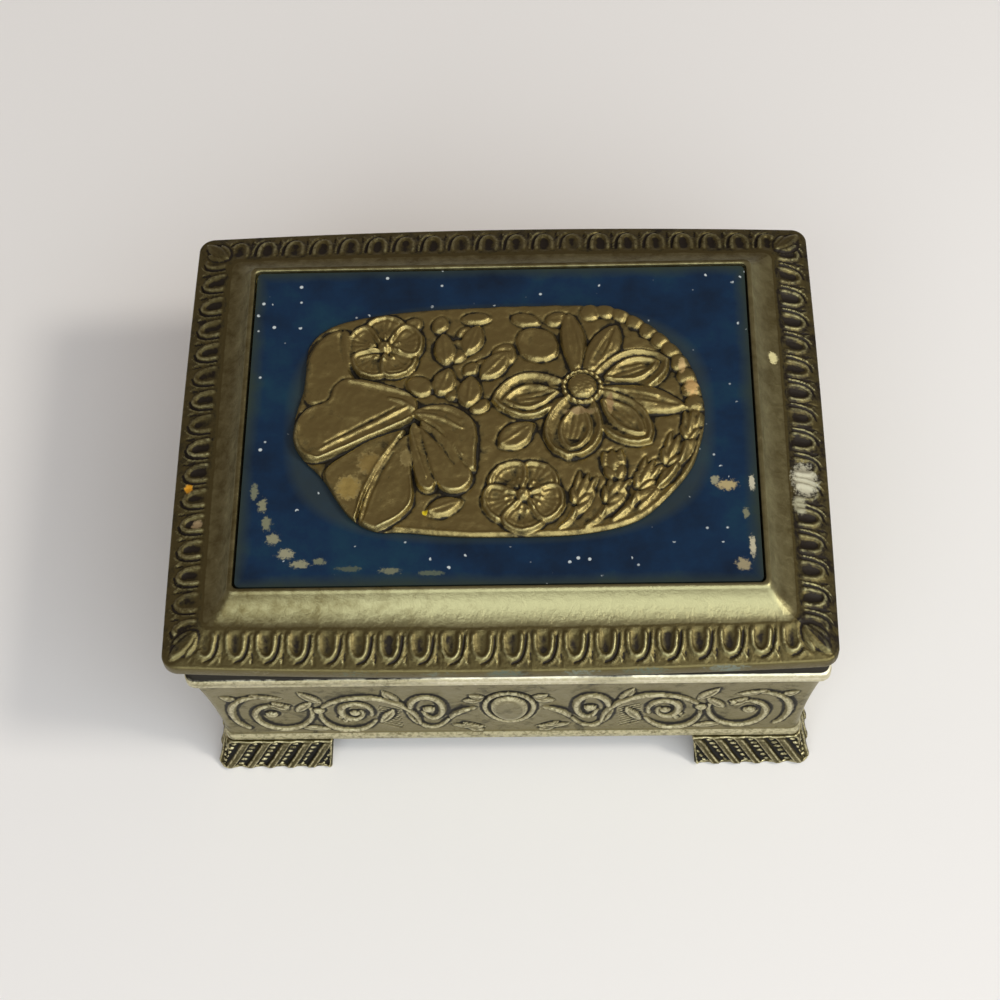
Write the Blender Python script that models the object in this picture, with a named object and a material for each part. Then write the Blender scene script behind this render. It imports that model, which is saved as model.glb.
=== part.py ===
"""Footed trinket box: a cast brass body on four bracket feet, with a hinged lid that
carries an enamelled panel under a cast floral medallion.

Metres, +Z up. The origin lies on the floor under the middle of the closed box.
The front looks along -Y and the hinges are at the back, along +Y.
"""
import math

import bmesh
import bpy
from mathutils import Matrix, Vector

MM = 0.001

# Fits shared by all the pieces
SEAT_GAP = 0.3 * MM          # between two pieces that touch
CORNER_STEPS = 3             # faces round each corner of a casting

# Lid casting, seen from above
LID_LENGTH = 90.0 * MM       # along X, from corner to corner of the lip
LID_DEPTH = 71.6 * MM        # along Y, from corner to corner of the lip
LID_CORNER_RADIUS = 2.2 * MM
LONG_SIDE_BOW = 1.0 * MM     # the long sides swell out this far between their corners
SHORT_SIDE_BOW = 0.3 * MM
EGG_BAND_WIDTH = 5.0 * MM    # carved border, from the lip to the ridge
RIDGE_WIDTH = 0.5 * MM       # plain fillet between border and cove
COVE_WIDTH = 3.4 * MM
PANEL_FRAME_WIDTH = 0.6 * MM
LID_CORNER_TIGHTENING = 0.15  # how fast the corner radius falls towards the panel

# Lid casting, heights
LIP_HEIGHT = 2.0 * MM
EGG_BAND_RISE = 1.5 * MM
COVE_RISE = 3.0 * MM
COVE_SAG = 0.5 * MM
LID_EDGE_ROUND = 0.35 * MM
ENAMEL_SUNK = 0.3 * MM       # enamel surface below its metal frame
LID_PLATE_THICKNESS = 1.2 * MM
LID_SEAT_WIDTH = 4.4 * MM    # flat ring under the lid, from the lip inwards
LID_WALL = 1.7 * MM

# Egg-and-dart border
EGG_PITCH = 4.1 * MM
EGGS_LONG_SIDE = 18
EGGS_SHORT_SIDE = 14
EGG_RELIEF = 0.6 * MM
EGG_COLUMNS = 4              # faces across one egg and its dart

# Enamel panel and medallion
ENAMEL_THICKNESS = 0.6 * MM
MEDALLION_LENGTH = 57.4 * MM
MEDALLION_DEPTH = 38.2 * MM
MEDALLION_SQUARENESS = 2.8   # 2 is an ellipse, higher is squarer
MEDALLION_EDGE = 0.5 * MM
MEDALLION_CROWN = 0.4 * MM
MEDALLION_LOBES = 26
MEDALLION_LOBE_DEPTH = 0.35 * MM
PETAL_ROOT = 0.5 * MM        # how deep a petal is sunk into the medallion
PETAL_RELIEF = 1.1 * MM
FAN_RELIEF = 0.6             # of the relief of a petal
FAN_FOLD = 0.12              # each next fan leaf lies lower by this share
FAN_ROOT_STEP = 0.35 * MM    # and springs from a root this much further down
FAN_ROUND = 0.35 * MM        # rounded edge of a fan leaf
FAN_ROUND_SHARE = 0.08       # how far that edge draws in, as a share of the leaf

# Body casting
BODY_LENGTH = 87.6 * MM      # over the rim bead
BODY_DEPTH = 69.2 * MM
BODY_HEIGHT = 27.9 * MM
BODY_CORNER_RADIUS = 1.4 * MM
BODY_SET_OVER = 0.8 * MM     # worn hinges let the lid sit this far to the left
BASE_INSET = 2.3 * MM        # the base stands in from the bead
BASE_FILLET_HEIGHT = 1.5 * MM
FACE_HOLLOW = 0.25 * MM      # the frieze face is slightly concave
FACE_STEPS = 4
BEAD_BOTTOM = 21.4 * MM      # heights from the bottom of the casting
BEAD_HEIGHT = 2.2 * MM
BEAD_PROJECTION = 0.6 * MM   # the bead stands out from the top of the frieze face
NECK_INSET = 0.45 * MM
EDGE_ROUND = 0.25 * MM
WALL = 1.9 * MM
CAVITY_CORNER_RADIUS = 0.8 * MM
LEDGE_WIDTH = 1.2 * MM       # carries the bottom plate
LEDGE_HEIGHT = 1.6 * MM
BOSS_WIDTH = 5.6 * MM        # oval boss in the middle of the frieze, front and back
BOSS_HEIGHT = 9.8 * MM
BOSS_RELIEF = 0.8 * MM
BOSS_RING_WIDTH = 1.0 * MM

# Scrolls of the frieze
SCROLL_WIDTH = 1.5 * MM      # where a scroll meets the face
SCROLL_RELIEF = 0.5 * MM
SCROLL_ROOT = 0.3 * MM       # how deep a scroll is sunk into the face
SCROLL_TAPER = 0.45          # size of a scroll's ends, as a share of its middle
SCROLL_STEP = 26.0           # degrees from one section of a scroll to the next
SCROLL_CLOSING = 1.6         # above 1, a curl tightens mostly towards its end
SIDE_FRIEZE_START = -0.105   # on the short sides the halves close up where no boss is,
SIDE_FRIEZE_SPREAD = 1.095   # both as shares of half the side's length

# Bottom plate, linings and pads
BOTTOM_PLATE_THICKNESS = 1.0 * MM
LINING_THICKNESS = 1.0 * MM
LINING_BELOW_RIM = 0.7 * MM
PAD_CLEARANCE = 0.4 * MM
BASE_PAD_THICKNESS = 2.2 * MM
LID_PAD_THICKNESS = 2.2 * MM
PAD_CROWN = 0.8 * MM
PAD_DRAW_IN = 0.5 * MM
PAD_CORNER_RADIUS = 2.0 * MM

# Bracket feet
FOOT_HEIGHT = 6.2 * MM
FOOT_FRONT_LENGTH = 15.6 * MM  # from the foot's outer corner, less its flare
FOOT_SIDE_LENGTH = 12.6 * MM
FOOT_END_UPRIGHT = 0.5       # share of the flare that a leg's end makes up for
FOOT_LEG_THICKNESS = 3.6 * MM
FOOT_FLARE = 1.8 * MM        # the foot's lower edge stands out from the base
FOOT_HEAD_OUTSET = 0.5 * MM
FOOT_TOE_ROUND = 0.6 * MM
FOOT_CORNER_RADIUS = 1.6 * MM
RIB_PITCH = 3.0 * MM
RIB_DEPTH = 0.5 * MM
RIB_LEAN = 0.31              # sideways run of a rib for each unit of its height
RIB_COLUMNS = 4              # faces across one rib

# Hinges
HINGE_INSET = 19.8 * MM      # from the end of the body to the middle of a hinge
HINGE_RADIUS = 1.5 * MM
KNUCKLE_LENGTH = 3.4 * MM
PIN_RADIUS = 0.75 * MM
PIN_HEAD_RADIUS = 1.15 * MM
PIN_HEAD_LENGTH = 0.5 * MM
LEAF_BAR_HEIGHT = 0.8 * MM
ROUND_STEPS = 12

# Places that follow from the sizes above
BODY_BOTTOM = FOOT_HEIGHT + SEAT_GAP
LID_BOTTOM = BODY_BOTTOM + BODY_HEIGHT + SEAT_GAP
RIDGE_INSET = EGG_BAND_WIDTH
COVE_FOOT_INSET = RIDGE_INSET + RIDGE_WIDTH
COVE_HEAD_INSET = COVE_FOOT_INSET + COVE_WIDTH
RECESS_INSET = COVE_HEAD_INSET + PANEL_FRAME_WIDTH
RIDGE_LEVEL = LIP_HEIGHT + EGG_BAND_RISE
FRAME_LEVEL = RIDGE_LEVEL + COVE_RISE
ENAMEL_TOP = FRAME_LEVEL - ENAMEL_SUNK
RECESS_LEVEL = ENAMEL_TOP - ENAMEL_THICKNESS - SEAT_GAP
LID_CEILING = RECESS_LEVEL - LID_PLATE_THICKNESS
NECK_BACK = BODY_DEPTH / 2 - NECK_INSET
HINGE_Y = NECK_BACK + SEAT_GAP + HINGE_RADIUS
HINGE_Z = LID_BOTTOM - SEAT_GAP - HINGE_RADIUS
HINGE_BORE = PIN_RADIUS + SEAT_GAP
HINGE_SPACING = BODY_LENGTH - 2 * HINGE_INSET
REAR_REACH = HINGE_Y + HINGE_RADIUS
FRONT_REACH = LID_DEPTH / 2 + LONG_SIDE_BOW
CENTRE_SHIFT = (REAR_REACH - FRONT_REACH) / 2


def clear_scene():
    for old in list(bpy.data.objects):
        bpy.data.objects.remove(old, do_unlink=True)


def make_material(name, colour, metallic, roughness):
    made = bpy.data.materials.new(name)
    made.use_nodes = True
    shader = made.node_tree.nodes["Principled BSDF"]
    shader.inputs["Base Color"].default_value = (*colour, 1.0)
    shader.inputs["Metallic"].default_value = metallic
    shader.inputs["Roughness"].default_value = roughness
    return made


def antique_brass(name):
    return make_material(name, (0.22, 0.18, 0.085), 0.9, 0.42)


def plain_brass(name):
    return make_material(name, (0.42, 0.32, 0.13), 1.0, 0.35)


def navy_enamel(name):
    return make_material(name, (0.012, 0.03, 0.085), 0.0, 0.25)


def velvet(name):
    return make_material(name, (0.025, 0.045, 0.11), 0.0, 0.9)


def empty(name, location, parent=None):
    made = bpy.data.objects.new(name, None)
    bpy.context.collection.objects.link(made)
    made.parent = parent
    made.location = location
    return made


def make_object(name, shape, finish, parent=None, location=(0.0, 0.0, 0.0), smooth_angle=35.0):
    """Turns a finished bmesh into a named object under its parent."""
    mesh = bpy.data.meshes.new(name)
    shape.to_mesh(mesh)
    shape.free()
    mesh.materials.append(finish(name))
    mesh.shade_smooth()
    mesh.set_sharp_from_angle(angle=math.radians(smooth_angle))
    made = bpy.data.objects.new(name, mesh)
    bpy.context.collection.objects.link(made)
    made.parent = parent
    made.location = location
    return made


def fuse(target, pieces):
    """Joins closed pieces, drawn in the target's own frame, into it with an exact Boolean."""
    group = bpy.data.collections.new(target.name + "_tools")
    bpy.context.scene.collection.children.link(group)
    for piece in pieces:
        piece.parent = target.parent
        piece.location = target.location
        bpy.context.collection.objects.unlink(piece)
        group.objects.link(piece)
        piece.hide_render = True
        piece.display_type = "WIRE"
    joint = target.modifiers.new("join", "BOOLEAN")
    joint.operation = "UNION"
    joint.solver = "EXACT"
    joint.operand_type = "COLLECTION"
    joint.collection = group
    joint.use_self = True
    graph = bpy.context.evaluated_depsgraph_get()
    united = bpy.data.meshes.new_from_object(target.evaluated_get(graph))
    target.modifiers.remove(joint)
    finish = target.data.materials[0]
    target.data = united
    united.materials.clear()
    united.materials.append(finish)
    for piece in pieces:
        bpy.data.objects.remove(piece, do_unlink=True)
    bpy.data.collections.remove(group)


def even_marks(reach, steps):
    """Places between the ends of a straight side, in equal steps."""
    return [reach * (2 * step / steps - 1) for step in range(1, steps)]


def outline(half_x, half_y, radius, marks_x=(), marks_y=(), bow_long=0.0, bow_short=0.0):
    """Rounded rectangle, counter-clockwise from the foot of its right side.

    Each point is x, y and a station that tells how far round it lies, so rings with
    different marks can be joined. A bow swells a side outwards between its corners.
    """
    points = []
    for side in range(4):
        turn = Matrix.Rotation(side * math.pi / 2, 2)
        on_short_side = side % 2 == 0
        out = half_x if on_short_side else half_y
        along = (half_y if on_short_side else half_x) - radius
        bow = bow_short if on_short_side else bow_long
        marks = marks_y if on_short_side else marks_x
        for mark in [-along, *marks, along]:
            share = mark / along
            place = turn @ Vector((out + bow * (1 - share * share), mark))
            points.append((place.x, place.y, side + 0.5 + 0.4 * share))
        centre = turn @ Vector((out - radius, along))
        for step in range(1, CORNER_STEPS):
            share = step / CORNER_STEPS
            angle = (side + share) * math.pi / 2
            x = centre.x + radius * math.cos(angle)
            y = centre.y + radius * math.sin(angle)
            points.append((x, y, side + 0.9 + 0.2 * share))
    return points


def add_ring(shape, points, height, lift=None):
    """Vertices of one ring, each with its station."""
    ring = []
    for index, (x, y, station) in enumerate(points):
        extra = lift[index] if lift else 0.0
        ring.append((shape.verts.new((x, y, height + extra)), station))
    return ring


def bridge(shape, first, second):
    """Faces between two closed rings, which may have different counts."""
    count_a = len(first)
    count_b = len(second)
    if count_a == count_b:
        for i in range(count_a):
            j = (i + 1) % count_a
            shape.faces.new((first[i][0], first[j][0], second[j][0], second[i][0]))
        return
    turn = 4.0
    a = 0
    b = 0
    while a < count_a or b < count_b:
        next_a = first[(a + 1) % count_a][1] + (turn if a + 1 >= count_a else 0.0)
        next_b = second[(b + 1) % count_b][1] + (turn if b + 1 >= count_b else 0.0)
        here_a = first[a % count_a][0]
        here_b = second[b % count_b][0]
        if b >= count_b or (a < count_a and next_a <= next_b):
            shape.faces.new((here_a, first[(a + 1) % count_a][0], here_b))
            a += 1
        else:
            shape.faces.new((here_a, second[(b + 1) % count_b][0], here_b))
            b += 1


def cap(shape, ring, facing_up=True):
    corners = [vert for vert, station in ring]
    shape.faces.new(corners if facing_up else corners[::-1])


def stack(rings_of, closed=False):
    """A solid through a list of (points, height) or (points, height, lift) rings."""
    shape = bmesh.new()
    rings = [add_ring(shape, *ring) for ring in rings_of]
    for lower, upper in zip(rings, rings[1:]):
        bridge(shape, lower, upper)
    if closed:
        bridge(shape, rings[-1], rings[0])
    else:
        cap(shape, rings[0], facing_up=False)
        cap(shape, rings[-1])
    return shape


def egg_marks(count):
    """Places of the border's columns along one side."""
    reach = count * EGG_PITCH / 2
    columns = count * EGG_COLUMNS
    return [reach * (2 * column / columns - 1) for column in range(columns + 1)]


def lid_radius(inset):
    return LID_CORNER_RADIUS - LID_CORNER_TIGHTENING * inset


def lid_outline(inset, marks_x=None, marks_y=None):
    """The lid's plan at an inset from its lip. The bow dies away towards the panel."""
    half_x = LID_LENGTH / 2 - inset
    half_y = LID_DEPTH / 2 - inset
    radius = lid_radius(inset)
    fade = max(0.0, 1 - inset / COVE_HEAD_INSET)
    if marks_x is None:
        marks_x = even_marks(half_x - radius, 6)
        marks_y = even_marks(half_y - radius, 2)
    return outline(half_x, half_y, radius, marks_x, marks_y,
                   LONG_SIDE_BOW * fade, SHORT_SIDE_BOW * fade)


def egg_lifts(marks_x, marks_y, crest):
    """Relief of the eggs along one row: full on an egg's middle, none at a dart."""
    lifts = []
    for side in range(4):
        marks = marks_y if side % 2 == 0 else marks_x
        lifts.append(0.0)
        for column in range(len(marks)):
            share = column % EGG_COLUMNS / EGG_COLUMNS
            lifts.append(crest * math.sin(math.pi * share))
        lifts.append(0.0)
        lifts.extend([0.0] * (CORNER_STEPS - 1))
    return lifts


def build_lid_casting():
    marks_x = egg_marks(EGGS_LONG_SIDE)
    marks_y = egg_marks(EGGS_SHORT_SIDE)
    inner_foot = LID_SEAT_WIDTH
    inner_knee = RIDGE_INSET + LID_WALL
    rings = [
        (lid_outline(COVE_HEAD_INSET + LID_WALL), LID_CEILING),
        (lid_outline(inner_knee), RIDGE_LEVEL - LID_WALL),
        (lid_outline(inner_foot), 0.0),
        (lid_outline(LID_EDGE_ROUND), 0.0),
        (lid_outline(0.0), LID_EDGE_ROUND),
        (lid_outline(0.0), LIP_HEIGHT - LID_EDGE_ROUND),
    ]
    border_start = LID_EDGE_ROUND
    border_rows = [(0.0, 0.0), (0.16, 0.75), (0.42, 1.0), (0.76, 0.5), (1.0, 0.0)]
    for share, relief in border_rows:
        inset = border_start + share * (RIDGE_INSET - border_start)
        level = LIP_HEIGHT + share * EGG_BAND_RISE
        lift = egg_lifts(marks_x, marks_y, relief * EGG_RELIEF)
        rings.append((lid_outline(inset, marks_x, marks_y), level, lift))
    rings.append((lid_outline(COVE_FOOT_INSET), RIDGE_LEVEL))
    cove_steps = 3
    slope = math.atan2(COVE_RISE, COVE_WIDTH)
    for step in range(1, cove_steps + 1):
        share = step / cove_steps
        sag = COVE_SAG * 4 * share * (1 - share)
        inset = COVE_FOOT_INSET + share * COVE_WIDTH + sag * math.sin(slope)
        level = RIDGE_LEVEL + share * COVE_RISE - sag * math.cos(slope)
        rings.append((lid_outline(inset), level))
    rings.append((lid_outline(RECESS_INSET), FRAME_LEVEL))
    rings.append((lid_outline(RECESS_INSET), RECESS_LEVEL))
    return stack(rings)


def build_enamel_panel():
    plan = lid_outline(RECESS_INSET + SEAT_GAP)
    bottom = RECESS_LEVEL + SEAT_GAP
    return stack([(plan, bottom), (plan, bottom + ENAMEL_THICKNESS)])


def medallion_ring(scale, lobes):
    """Superellipse with a scalloped edge."""
    steps = MEDALLION_LOBES * 2
    points = []
    for step in range(steps):
        angle = 2 * math.pi * step / steps
        cosine = math.cos(angle)
        sine = math.sin(angle)
        power = 2 / MEDALLION_SQUARENESS
        x = MEDALLION_LENGTH / 2 * math.copysign(abs(cosine) ** power, cosine)
        y = MEDALLION_DEPTH / 2 * math.copysign(abs(sine) ** power, sine)
        notch = lobes * MEDALLION_LOBE_DEPTH * (step % 2)
        shrink = scale - notch / math.hypot(x, y)
        points.append((x * shrink, y * shrink, 4 * step / steps))
    return points


def petal_piece(name, root, heading, length, width, relief, form):
    """A leaf in relief. Its form lists its half width, as shares of length and width."""
    crest = MEDALLION_EDGE + MEDALLION_CROWN + PETAL_RELIEF * relief
    rim = MEDALLION_EDGE + MEDALLION_CROWN * 0.6 + PETAL_RELIEF * relief * 0.35
    floor = MEDALLION_EDGE + MEDALLION_CROWN - PETAL_ROOT
    edge = [(length * run, width / 2 * spread) for run, spread in form]
    widest = max(form, key=lambda place: place[1])[0]
    plan = [(x, -y) for x, y in edge] + [(x, y) for x, y in reversed(edge)]
    shape = bmesh.new()
    count = len(plan)
    lower = add_ring(shape, [(x, y, 4 * i / count) for i, (x, y) in enumerate(plan)], floor)
    upper = add_ring(shape, [(x, y, 4 * i / count) for i, (x, y) in enumerate(plan)], rim)
    bridge(shape, lower, upper)
    cap(shape, lower, facing_up=False)
    top = shape.verts.new((length * widest, 0.0, crest))
    for i in range(count):
        shape.faces.new((upper[i][0], upper[(i + 1) % count][0], top))
    turn = Matrix.Translation((*root, 0.0)) @ Matrix.Rotation(math.radians(heading), 4, "Z")
    bmesh.ops.transform(shape, matrix=turn, verts=shape.verts)
    return make_object(name, shape, antique_brass)


def dome_piece(name, centre, radius, relief):
    """The button in the middle of a flower."""
    base = MEDALLION_EDGE + MEDALLION_CROWN - PETAL_ROOT
    crest = MEDALLION_EDGE + MEDALLION_CROWN + PETAL_RELIEF * relief
    steps = 10
    rings = []
    for scale, share in [(1.0, 0.0), (1.0, 0.55), (0.6, 1.0)]:
        points = []
        for step in range(steps):
            angle = 2 * math.pi * step / steps
            x = centre[0] + radius * scale * math.cos(angle)
            y = centre[1] + radius * scale * math.sin(angle)
            points.append((x, y, 4 * step / steps))
        rings.append((points, base + share * (crest - base)))
    return make_object(name, stack(rings), antique_brass)


def fan_piece(name, root, edge, relief):
    """A flat leaf spread from its root. Its edge lists a heading in degrees and a reach."""
    floor = MEDALLION_EDGE + MEDALLION_CROWN - PETAL_ROOT
    field = MEDALLION_EDGE + MEDALLION_CROWN * 0.6 + PETAL_RELIEF * relief
    plan = [Vector(root)]
    for heading, reach in edge:
        turn = math.radians(heading)
        plan.append(Vector(root) + Vector((math.cos(turn), math.sin(turn))) * reach * MM)
    middle = sum(plan, Vector((0.0, 0.0))) / len(plan)
    rings = []
    for shrink, level in [(1.0, floor), (1.0, field - FAN_ROUND), (1 - FAN_ROUND_SHARE, field)]:
        places = [middle + (place - middle) * shrink for place in plan]
        points = [(place.x, place.y, 4 * i / len(plan)) for i, place in enumerate(places)]
        rings.append((points, level))
    return make_object(name, stack(rings), antique_brass)


def flower(name, centre, petals, relief, button, form):
    """Petals round a button: each has a heading in degrees, a length and a width."""
    pieces = []
    for number, (heading, length, width) in enumerate(petals):
        direction = Vector((math.cos(math.radians(heading)), math.sin(math.radians(heading))))
        root = Vector(centre) + direction * button * 0.6
        piece = petal_piece(f"{name}_petal_{number}", root, heading, length - button * 0.6, width,
                            relief, form)
        pieces.append(piece)
    pieces.append(dome_piece(f"{name}_button", centre, button, relief * 1.15))
    return pieces


def even_petals(count, first_heading, length, width):
    return [(first_heading + 360 * number / count, length, width) for number in range(count)]


def spray(name, leaves, relief, form):
    """Single leaves: root x and y, heading in degrees, length and width in millimetres."""
    pieces = []
    for number, (x, y, heading, length, width) in enumerate(leaves):
        piece = petal_piece(f"{name}_{number}", (x * MM, y * MM), heading, length * MM,
                            width * MM, relief, form)
        pieces.append(piece)
    return pieces


def build_medallion(parent, location):
    """Cast medallion: a large daisy, two smaller blossoms, fan leaves and a row of buds."""
    plate = stack([
        (medallion_ring(1.0, 1.0), 0.0),
        (medallion_ring(1.0, 1.0), MEDALLION_EDGE),
        (medallion_ring(0.86, 0.0), MEDALLION_EDGE + MEDALLION_CROWN * 0.8),
        (medallion_ring(0.5, 0.0), MEDALLION_EDGE + MEDALLION_CROWN),
    ])
    medallion = make_object("relief_medallion", plate, antique_brass, parent, location)
    pointed = [(0.0, 0.15), (0.3, 0.75), (0.58, 1.0), (0.82, 0.66), (1.0, 0.08)]
    rounded = [(0.0, 0.2), (0.35, 0.8), (0.68, 1.0), (0.9, 0.72), (1.0, 0.3)]
    daisy_petals = [(192, 13.4, 6.2), (131, 10.6, 4.8), (97, 13.0, 3.4), (66, 12.2, 4.2),
                    (27, 12.4, 6.0), (-10, 14.2, 5.0), (-47, 11.4, 6.2), (-108, 11.2, 7.0)]
    daisy_petals = [(heading, length * MM, width * MM) for heading, length, width in daisy_petals]
    daisy_centre = (12.4 * MM, 4.7 * MM)
    pieces = flower("daisy", daisy_centre, daisy_petals, 1.0, 2.6 * MM, pointed)
    rose_centre = (-16.2 * MM, 11.8 * MM)
    rose_petals = even_petals(5, 90, 5.6 * MM, 5.6 * MM)
    pieces += flower("rose", rose_centre, rose_petals, 0.8, 1.3 * MM, rounded)
    blossom_centre = (3.4 * MM, -12.9 * MM)
    blossom_petals = even_petals(5, 54, 5.6 * MM, 5.6 * MM)
    pieces += flower("blossom", blossom_centre, blossom_petals, 0.8, 1.5 * MM, rounded)
    upper_fan = [(92, 5.0), (137, 9.4), (149, 12.0), (164, 11.6), (171, 14.6), (186, 16.4),
                 (199, 16.2), (207, 13.6)]
    middle_fan = [(211, 13.0), (221, 14.4), (234, 16.0), (245, 16.6)]
    lower_fan = [(248, 16.4), (258, 17.4), (269, 15.6), (274, 12.6)]
    for number, edge in enumerate((upper_fan, middle_fan, lower_fan)):
        step = FAN_ROOT_STEP * number
        root = (-12.6 * MM + step, -0.6 * MM - step)
        relief = FAN_RELIEF * (1 - FAN_FOLD * number)
        pieces.append(fan_piece(f"fan_leaf_{number}", root, edge, relief))
    pieces += spray("bell", [(-12.0, -0.4, -22, 9.2, 4.6), (-12.0, -0.8, -52, 11.4, 4.6),
                             (-12.2, -1.0, -80, 10.8, 4.0)], 0.7, rounded)
    small = [(-7.4, 8.6, 96, 5.6, 3.2), (-4.6, 10.4, 72, 5.4, 3.2), (-2.6, 6.2, 48, 6.2, 3.4),
             (-8.4, 3.4, 72, 5.0, 3.4), (-4.4, 1.4, 84, 5.4, 3.6), (0.6, 12.2, 18, 6.4, 3.8),
             (-4.4, 16.4, 8, 6.4, 2.6), (0.0, -5.2, 38, 6.3, 4.0), (-9.8, -15.4, 20, 5.4, 3.0),
             (-19.8, 5.6, 122, 10.4, 7.0)]
    pieces += spray("small_leaf", small, 0.5, rounded)
    buds = [(10.4, -14.4, 68, 5.4, 2.8), (14.5, -14.2, 60, 5.4, 2.8), (18.9, -12.0, 62, 5.4, 2.8),
            (22.8, -8.2, 66, 5.4, 2.8), (25.9, -4.2, 78, 5.0, 2.6), (16.0, -10.4, 96, 4.8, 4.2)]
    pieces += spray("bud", buds, 0.7, pointed)
    fuse(medallion, pieces)
    return medallion


def body_outline(inset, radius=BODY_CORNER_RADIUS):
    return outline(BODY_LENGTH / 2 - inset, BODY_DEPTH / 2 - inset, radius)


def cavity_inset(height):
    """How far the sloping inner wall stands in from the bead, at a height in the body."""
    share = (height - LEDGE_HEIGHT) / (BODY_HEIGHT - LEDGE_HEIGHT)
    return BASE_INSET + WALL + share * (NECK_INSET - BASE_INSET)


def face_inset(height):
    """The frieze face, from the base fillet up to the bead."""
    foot = BASE_FILLET_HEIGHT + 2 * EDGE_ROUND
    share = (height - foot) / (BEAD_BOTTOM - EDGE_ROUND - foot)
    straight = BASE_INSET + EDGE_ROUND + share * (BEAD_PROJECTION - BASE_INSET - EDGE_ROUND)
    return straight + FACE_HOLLOW * 4 * share * (1 - share)


def build_body_casting(parent, location):
    base_edge = BASE_INSET + EDGE_ROUND
    face_foot = BASE_FILLET_HEIGHT + 2 * EDGE_ROUND
    face_head = BEAD_BOTTOM - EDGE_ROUND
    bead_top = BEAD_BOTTOM + BEAD_HEIGHT
    ledge_inset = cavity_inset(LEDGE_HEIGHT) + LEDGE_WIDTH
    cavity_radius = CAVITY_CORNER_RADIUS
    rings = [
        (body_outline(base_edge), 0.0),
        (body_outline(BASE_INSET), EDGE_ROUND),
        (body_outline(BASE_INSET), BASE_FILLET_HEIGHT),
    ]
    for step in range(FACE_STEPS + 1):
        height = face_foot + (face_head - face_foot) * step / FACE_STEPS
        rings.append((body_outline(face_inset(height)), height))
    rings += [
        (body_outline(EDGE_ROUND), BEAD_BOTTOM),
        (body_outline(0.0), BEAD_BOTTOM + 2 * EDGE_ROUND),
        (body_outline(0.0), bead_top - EDGE_ROUND),
        (body_outline(EDGE_ROUND), bead_top),
        (body_outline(NECK_INSET), bead_top + EDGE_ROUND),
        (body_outline(NECK_INSET), BODY_HEIGHT - EDGE_ROUND),
        (body_outline(NECK_INSET + EDGE_ROUND), BODY_HEIGHT),
        (body_outline(cavity_inset(BODY_HEIGHT), cavity_radius), BODY_HEIGHT),
        (body_outline(cavity_inset(LEDGE_HEIGHT), cavity_radius), LEDGE_HEIGHT),
        (body_outline(ledge_inset, cavity_radius), LEDGE_HEIGHT),
        (body_outline(ledge_inset, cavity_radius), 0.0),
    ]
    body = make_object("body_casting", stack(rings, closed=True), antique_brass, parent, location)
    bosses = []
    for side in (-1, 1):
        bosses += frieze_boss(side)
    fuse(body, bosses)
    scrolls = []
    for side in range(4):
        scrolls += frieze_scrolls(side)
    fuse(body, scrolls)
    return body


# One half of the frieze. Each scroll has its middle along the face, as a share of half the
# face's length, and up it, as a share of the height of the bead. Its half width and half
# height are shares of the same lengths. Then come its first heading and its sweep in degrees,
# and its last size as a share of its first.
FRIEZE_SCROLLS = [
    (0.105, 0.28, 0.089, 0.234, 85, -70, 1.0),    # stem off the boss
    (0.258, 0.495, 0.071, 0.318, 215, 480, 0.3),  # first curl
    (0.466, 0.187, 0.173, 0.561, 175, -135, 1.0),  # stem that arches over the second curl
    (0.498, 0.458, 0.055, 0.182, 200, -400, 0.35),  # second curl
    (0.52, 0.402, 0.091, 0.252, 205, 160, 1.0),   # loop under it
    (0.744, 0.458, 0.11, 0.308, 165, 290, 0.4),   # third curl
    (0.813, 0.449, 0.082, 0.299, 100, -160, 1.0),  # end scroll
]


def frieze_scrolls(side):
    """The scrolls of one face, in mirrored halves. Sides run front, right, back, left."""
    on_long_side = side % 2 == 0
    half = (BODY_LENGTH if on_long_side else BODY_DEPTH) / 2
    begin = 0.0 if on_long_side else SIDE_FRIEZE_START
    spread = 1.0 if on_long_side else SIDE_FRIEZE_SPREAD
    pieces = []
    for mirror in (-1, 1):
        for number, (along, up, reach, rise, start, sweep, last) in enumerate(FRIEZE_SCROLLS):
            middle = ((begin + along * spread) * half * mirror, up * BEAD_BOTTOM)
            size = (reach * spread * half * mirror, rise * BEAD_BOTTOM)
            name = f"scroll_{side}_{mirror}_{number}"
            pieces.append(scroll_piece(name, side, middle, size, start, sweep, last))
    return pieces


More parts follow.
